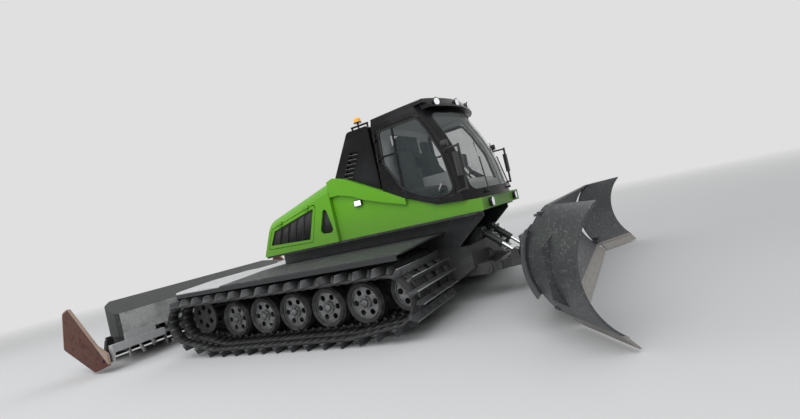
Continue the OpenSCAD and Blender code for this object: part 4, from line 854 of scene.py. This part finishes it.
def block(name, low, high, radius, material, segments=3):
    """Moulded box between two corners, its edges rounded by a bevel."""
    low, high = np.array(low, dtype=float), np.array(high, dtype=float)
    flat = np.array([[low[0], low[1]], [high[0], low[1]], [high[0], high[1]], [low[0], high[1]]])
    top = np.column_stack([flat, np.full(4, high[2])])[None]
    bottom = np.column_stack([flat, np.full(4, low[2])])[None]
    made = prisms(name, top, bottom, material)
    bevel = made.modifiers.new("edges", "BEVEL")
    bevel.width, bevel.segments, bevel.limit_method = radius, segments, "ANGLE"
    return made


for side in (-1, 1):
    word = "left" if side > 0 else "right"
    y = side * 0.43
    cushion = pad(f"seat_cushion_{word}", (3.08 + AXLE, y, 1.612), (0.25, 0.26, 0.066), 0.05, 0.25,
                  seat_cloth, channels=3, bolster=0.25)
    back = pad(f"seat_back_{word}", (2.872 + AXLE, y, 1.975), (0.305, 0.24, 0.062), math.radians(-98), 0.15,
               seat_cloth, channels=4, bolster=0.35)
    rest = pad(f"seat_headrest_{word}", (2.838 + AXLE, y, 2.362), (0.088, 0.135, 0.042), math.radians(-95), 0.2,
               seat_cloth)
    base = block(f"seat_base_{word}", (2.87 + AXLE, y - 0.22, 1.3305), (3.23 + AXLE, y + 0.22, 1.545), 0.02,
                 dash_plastic)
    for piece in (cushion, back, rest, base):
        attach(piece, "root")
    if side > 0:
        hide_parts("seats")
screen_finish = Finish("dark_screen")
dark_screen = screen_finish.surface(
    Base_Color=screen_finish.mix(screen_finish.noise(0.2, 2), (0.010, 0.014, 0.020), (0.02, 0.03, 0.04)),
    Roughness=0.08)
display = block("display", (3.50 + AXLE, 0.02, 1.87), (3.53 + AXLE, 0.29, 2.06), 0.008, dark_screen)
stalk = tube("display_arm", [(3.46 + AXLE, 0.10, 1.80), (3.50 + AXLE, 0.12, 1.86), (3.52 + AXLE, 0.15, 1.93)],
             0.014, dash_plastic)
wheel_mid, tilt_back, wheel_r = np.array([3.46 + AXLE, 0.43, 1.80]), math.radians(62), 0.175
a = np.linspace(0, 2 * np.pi, 25)[:-1]
ring = np.stack([-wheel_r * np.cos(a) * math.cos(tilt_back), wheel_r * np.sin(a),
                 wheel_r * np.cos(a) * math.sin(tilt_back)], axis=-1)
steering = tube("steering_wheel", wheel_mid + ring, 0.014, dash_plastic, closed=True, samples=2)
hub_end = wheel_mid + np.array([0.03, 0, -0.012])
spokes = [tube(f"steering_spoke_{k}", [wheel_mid + 0.98 * ring[i], hub_end], 0.011, dash_plastic)
          for k, i in enumerate((0, 8, 16))]
column = tube("steering_column", wheel_mid + np.array([(0.02, 0, 0), (0.22, 0, -0.16)]), 0.035, dash_plastic)
stick = tube("joystick", [(3.36 + AXLE, 0.0, 1.845), (3.37 + AXLE, 0.0, 1.93), (3.375 + AXLE, 0.0, 1.99)],
             0.024, dash_plastic)
for piece in [display, stalk, steering, column, stick] + spokes:
    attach(piece, "root")


# Lamps: clear lenses over bright reflectors, lit, each in a black rim let into the visor, the nose or
# the shoulder. The beacon is a ribbed amber dome on a stalk.
lens = Finish("lamp_lens")
flutes = lens.waves("Y", 40.0)
# Only the front faces are glass: of the headlamps by x, of the side lamps by y, and of the visor's lamps
# by their distance from the windscreen's axis. The rest is the black housing.
visor_reach = ((lens.x - screen_axis) ** 2 + lens.y ** 2) ** 0.5
roof_front = 2.75
visor_front = screen_r(roof_front) + 0.145
lit = visor_reach.rise(visor_front - 0.003, visor_front - 0.001) * lens.z.rise(2.60, 2.61)
lit = lit.math("MAXIMUM", lens.x.rise(4.0425 + AXLE, 4.0445 + AXLE))
lit = lit.math("MAXIMUM", lens.y.math("ABSOLUTE").rise(0.9680, 0.9695))
glass_tone = lens.mix(flutes, (0.45, 0.47, 0.50), (0.90, 0.92, 0.95))
lamp_lens = lens.surface(
    Base_Color=lens.mix(lit, (0.010, 0.010, 0.011), glass_tone), Roughness=0.12,
    Emission_Color=lens.mix(lit, (0.0, 0.0, 0.0), glass_tone), Emission_Strength=0.5,
    Normal=lens.bump(flutes, 0.002, 0.5))
paint_over(lamp_lens, "lamps")
amber = Finish("beacon_amber")
dome = amber.z.rise(2.850, 2.854)
beacon_amber = amber.surface(
    Base_Color=amber.mix(dome, (0.015, 0.015, 0.015), (0.90, 0.36, 0.02)), Roughness=0.25,
    Emission_Color=amber.mix(dome, (0.0, 0.0, 0.0), (1.0, 0.42, 0.03)), Emission_Strength=0.35,
    Normal=amber.bump(amber.waves("Z", 30.0), 0.003, 0.5))
paint_over(beacon_amber, "beacon")
trim = Finish("trim_black")
fade = trim.noise(0.1, 4)
trim_black = trim.surface(
    Base_Color=trim.mix(fade, (0.014, 0.014, 0.015), (0.040, 0.040, 0.042)), Roughness=0.5 + 0.2 * fade,
    Normal=trim.bump(trim.cells(0.003), 0.0005, 0.4))
paint_over(trim_black, "mirrors", "wipers")


# Blade and wings: rolled steel in satin dark paint, polished by the snow on its face, with a bare,
# scratched cutting edge along the bottom that is bolted on.
plate = Finish("blade_paint")
scratch = plate.noise(0.02, 6, stretch=(1, 0.08, 1))
cloud = plate.noise(0.3, 5)
bare = 1 - plate.z.rise(0.150, 0.156)
polish = scratch.rise(0.52, 0.72) * 0.7
colour = plate.mix(cloud, (0.045, 0.048, 0.052), (0.075, 0.078, 0.082))
colour = plate.mix(polish, colour, (0.20, 0.205, 0.21))
blade_paint = plate.surface(
    Base_Color=plate.mix(bare, colour, plate.mix(scratch, (0.40, 0.39, 0.37), (0.24, 0.22, 0.20))),
    Metallic=0.3 + 0.6 * bare, Roughness=0.34 + 0.2 * cloud + 0.1 * bare,
    Normal=plate.bump(scratch, 0.0008, 0.4))
paint_over(blade_paint, "blade", "wing_left", "wing_right")


# Tiller: folded steel cover, dark grey and scuffed on top, its front plate pale and dirty, with
# aluminium beams ahead of it. Rotors with welded tines, ridged combs, and brown boards at the sides.
cover = Finish("tiller_paint")
wear = cover.noise(0.07, 6)
cloud = cover.noise(0.3, 5)
front = cover.x.rise(-2.0025 + AXLE, -2.0005 + AXLE)
beam = cover.x.rise(-1.9985 + AXLE, -1.9965 + AXLE)
top_tone = cover.mix(wear.rise(0.5, 0.75), (0.022, 0.024, 0.025), (0.065, 0.068, 0.068))
speck = cover.noise(0.012, 5).rise(0.55, 0.62)
front_tone = cover.mix(cloud.rise(0.35, 0.75), (0.44, 0.45, 0.45), (0.20, 0.205, 0.20))
front_tone = cover.mix(speck * 0.6, front_tone, (0.09, 0.095, 0.09))
beam_tone = cover.mix(wear, (0.55, 0.56, 0.57), (0.38, 0.385, 0.39))
tiller_paint = cover.surface(
    Base_Color=cover.mix(beam, cover.mix(front, top_tone, front_tone), beam_tone),
    Metallic=0.15 + 0.5 * beam, Roughness=0.42 + 0.3 * wear, Normal=cover.bump(wear, 0.001, 0.3))
paint_over(tiller_paint, "tiller_cover")

rotor_finish = Finish("rotor_steel")
worn = rotor_finish.noise(0.02, 5)
rust = rotor_finish.noise(0.06, 6).rise(0.55, 0.7)
rotor_steel = rotor_finish.surface(
    Base_Color=rotor_finish.mix(rust, (0.36, 0.36, 0.365), (0.17, 0.095, 0.055)), Metallic=0.9 - 0.7 * rust,
    Roughness=0.35 + 0.35 * rust, Normal=rotor_finish.bump(worn, 0.001, 0.4))
paint_over(rotor_steel, "rotor_left", "rotor_right")

comb = Finish("comb_plastic")
rub = comb.noise(0.05, 5)
comb_plastic = comb.surface(
    Base_Color=comb.mix(rub.rise(0.5, 0.8), (0.020, 0.020, 0.021), (0.075, 0.075, 0.076)),
    Roughness=0.45 + 0.25 * rub, Normal=comb.bump(rub, 0.001, 0.3))
paint_over(comb_plastic, "finisher")

board = Finish("board_brown")
grain = board.noise(0.03, 6, stretch=(0.25, 1, 1))
worn = board.noise(0.09, 6).rise(0.5, 0.75)
edge = None
# The board's upper outline, where its paint is rubbed off: rear edge, top and slope
outline = ((-3.25, .45), (-3.05, 1.06), (-2.84, 1.12), (-2.22, .45))
for first, last in zip(outline, outline[1:]):
    near = 1 - (from_line(board, first, last) + 0.012 * grain).rise(0.014, 0.030)
    edge = near if edge is None else edge.math("MAXIMUM", near)
brown = board.mix(worn, (0.085, 0.024, 0.014), (0.050, 0.019, 0.013))
board_brown = board.surface(
    Base_Color=board.mix(edge * 0.85, brown, (0.40, 0.30, 0.24)),
    Roughness=0.5 + 0.25 * worn, Specular_IOR_Level=0.25, Normal=board.bump(grain, 0.001, 0.4))
paint_over(board_brown, "side_flap_left", "side_flap_right")


# Details on lamps and towers: a black rubber bezel is pressed in round each lamp, and the towers' louvres
# have lips below each slot, pale silver as a painted highlight for light caught on their edges.
def circle(centre, outward, radius):
    """Points of a level-topped circle square to an outward direction."""
    outward = np.array(outward, dtype=float)
    across = np.cross([0, 0, 1], outward)
    up = np.cross(outward, across)
    a = np.arange(24)[:, None] / 24 * 2 * np.pi
    return np.array(centre) + radius * (np.cos(a) * across + np.sin(a) * up)


visor_z = roof_front - 0.012
visor_face = visor_front - 0.005
bezel_r = 0.006
bezel_mesh = {"closed": True, "sides": 8, "samples": 1}
bezels = []
for k, a in enumerate(np.radians([-24, -8, 8, 24])):
    out = (math.cos(a), math.sin(a), 0)
    centre = (screen_axis + visor_face * out[0], visor_face * out[1], visor_z)
    bezels.append(tube(f"visor_bezel_{k}", circle(centre, out, 0.054), bezel_r, seal_rubber, **bezel_mesh))
for side in (-1, 1):
    word = "left" if side > 0 else "right"
    head_circle = circle((4.041 + AXLE, side * 0.62, 1.288), (1, 0, 0), 0.063)
    bezels.append(tube(f"head_bezel_{word}", head_circle, bezel_r, seal_rubber, **bezel_mesh))
    side_frame = beside(rounded([(x, z, .012) for x, z in ((2.18, 1.64), (2.30, 1.64), (2.30, 1.72), (2.18, 1.72))],
                                steps=4), side * 0.966)
    bezels.append(tube(f"side_bezel_{word}", side_frame, bezel_r, seal_rubber, **bezel_mesh))
    # The lips' pale silver is a painted highlight along each louvre's edge.
    lip = np.array([[0, -.001], [.150, -.015], [.150, -.021], [0, -.007]])
    at = np.array([[2.08 + 0.034 * k, 2.075 + 0.058 * k] for k in range(6)])
    spots = at[:, None, :] + lip[None]
    lips = prisms(f"louvre_highlight_lips_{word}", beside(spots, side * 0.921), beside(spots, side * 0.9053), rim_silver)
    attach(lips, "root")
for piece in bezels:
    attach(piece, "root")


# Rear of the fenders: a steel strip with nuts clamps each rubber flap, and a ragged rubber skirt goes on
# from the flap round the fender's rear corner, as high as the track's bars leave room.
strip_rear, strip_front = -0.8592 + AXLE, -0.8553 + AXLE
bar_tips = 0.385
for side in (-1, 1):
    word = "left" if side > 0 else "right"
    near_y, far_y = sorted((side * 0.78, side * 1.66))
    strip = block(f"flap_clamp_{word}", (strip_rear, near_y, 0.932), (strip_front, far_y, 0.962), 0.001,
                  zinc_steel, segments=1)
    bolts = nuts(f"flap_nuts_{word}", [(strip_rear, side * y, 0.947) for y in np.linspace(0.83, 1.61, 7)],
                 (-1, 0, 0), 0.019, 0.009, zinc_steel)
    a = np.linspace(np.pi, np.pi / 2, 61)
    inner, outer = (np.stack([-0.56 + r * np.cos(a), 1.70 + r * np.sin(a)], axis=-1) for r in (0.284, 0.292))
    top = 1.0 - 0.04 * (inner[:, 1] - 1.15) / 0.85 - 0.004
    # The lower edge is torn and keeps 10 mm off the bars' tips, which circle the sprocket's axle at 0.375 m
    torn = 0.012 * np.abs(np.sin(19 * a)) + 0.009 * np.abs(np.sin(47 * a + 1))
    low = sprocket_z + np.sqrt(bar_tips ** 2 - (outer[:, 0] - sprocket_x) ** 2) + torn
    low = np.minimum(low, top - 0.012)
    corners = [np.column_stack([p[:, 0] + AXLE, side * p[:, 1], z]) for p, z in
               ((outer, top), (outer, low), (inner, low), (inner, top))]
    grid = np.stack(corners, axis=1)
    n = len(grid)
    ends = np.array([[3, 2, 1, 0], [4 * n - 4, 4 * n - 3, 4 * n - 2, 4 * n - 1]])
    skirt = mesh_object(f"rear_skirt_{word}", grid.reshape(-1, 3), [grid_faces(n, 4), ends], flap_rubber)
    for piece, slot in ((strip, "dark_steel"), (bolts, "dark_steel"), (skirt, "flap_rubber")):
        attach(piece, "root")
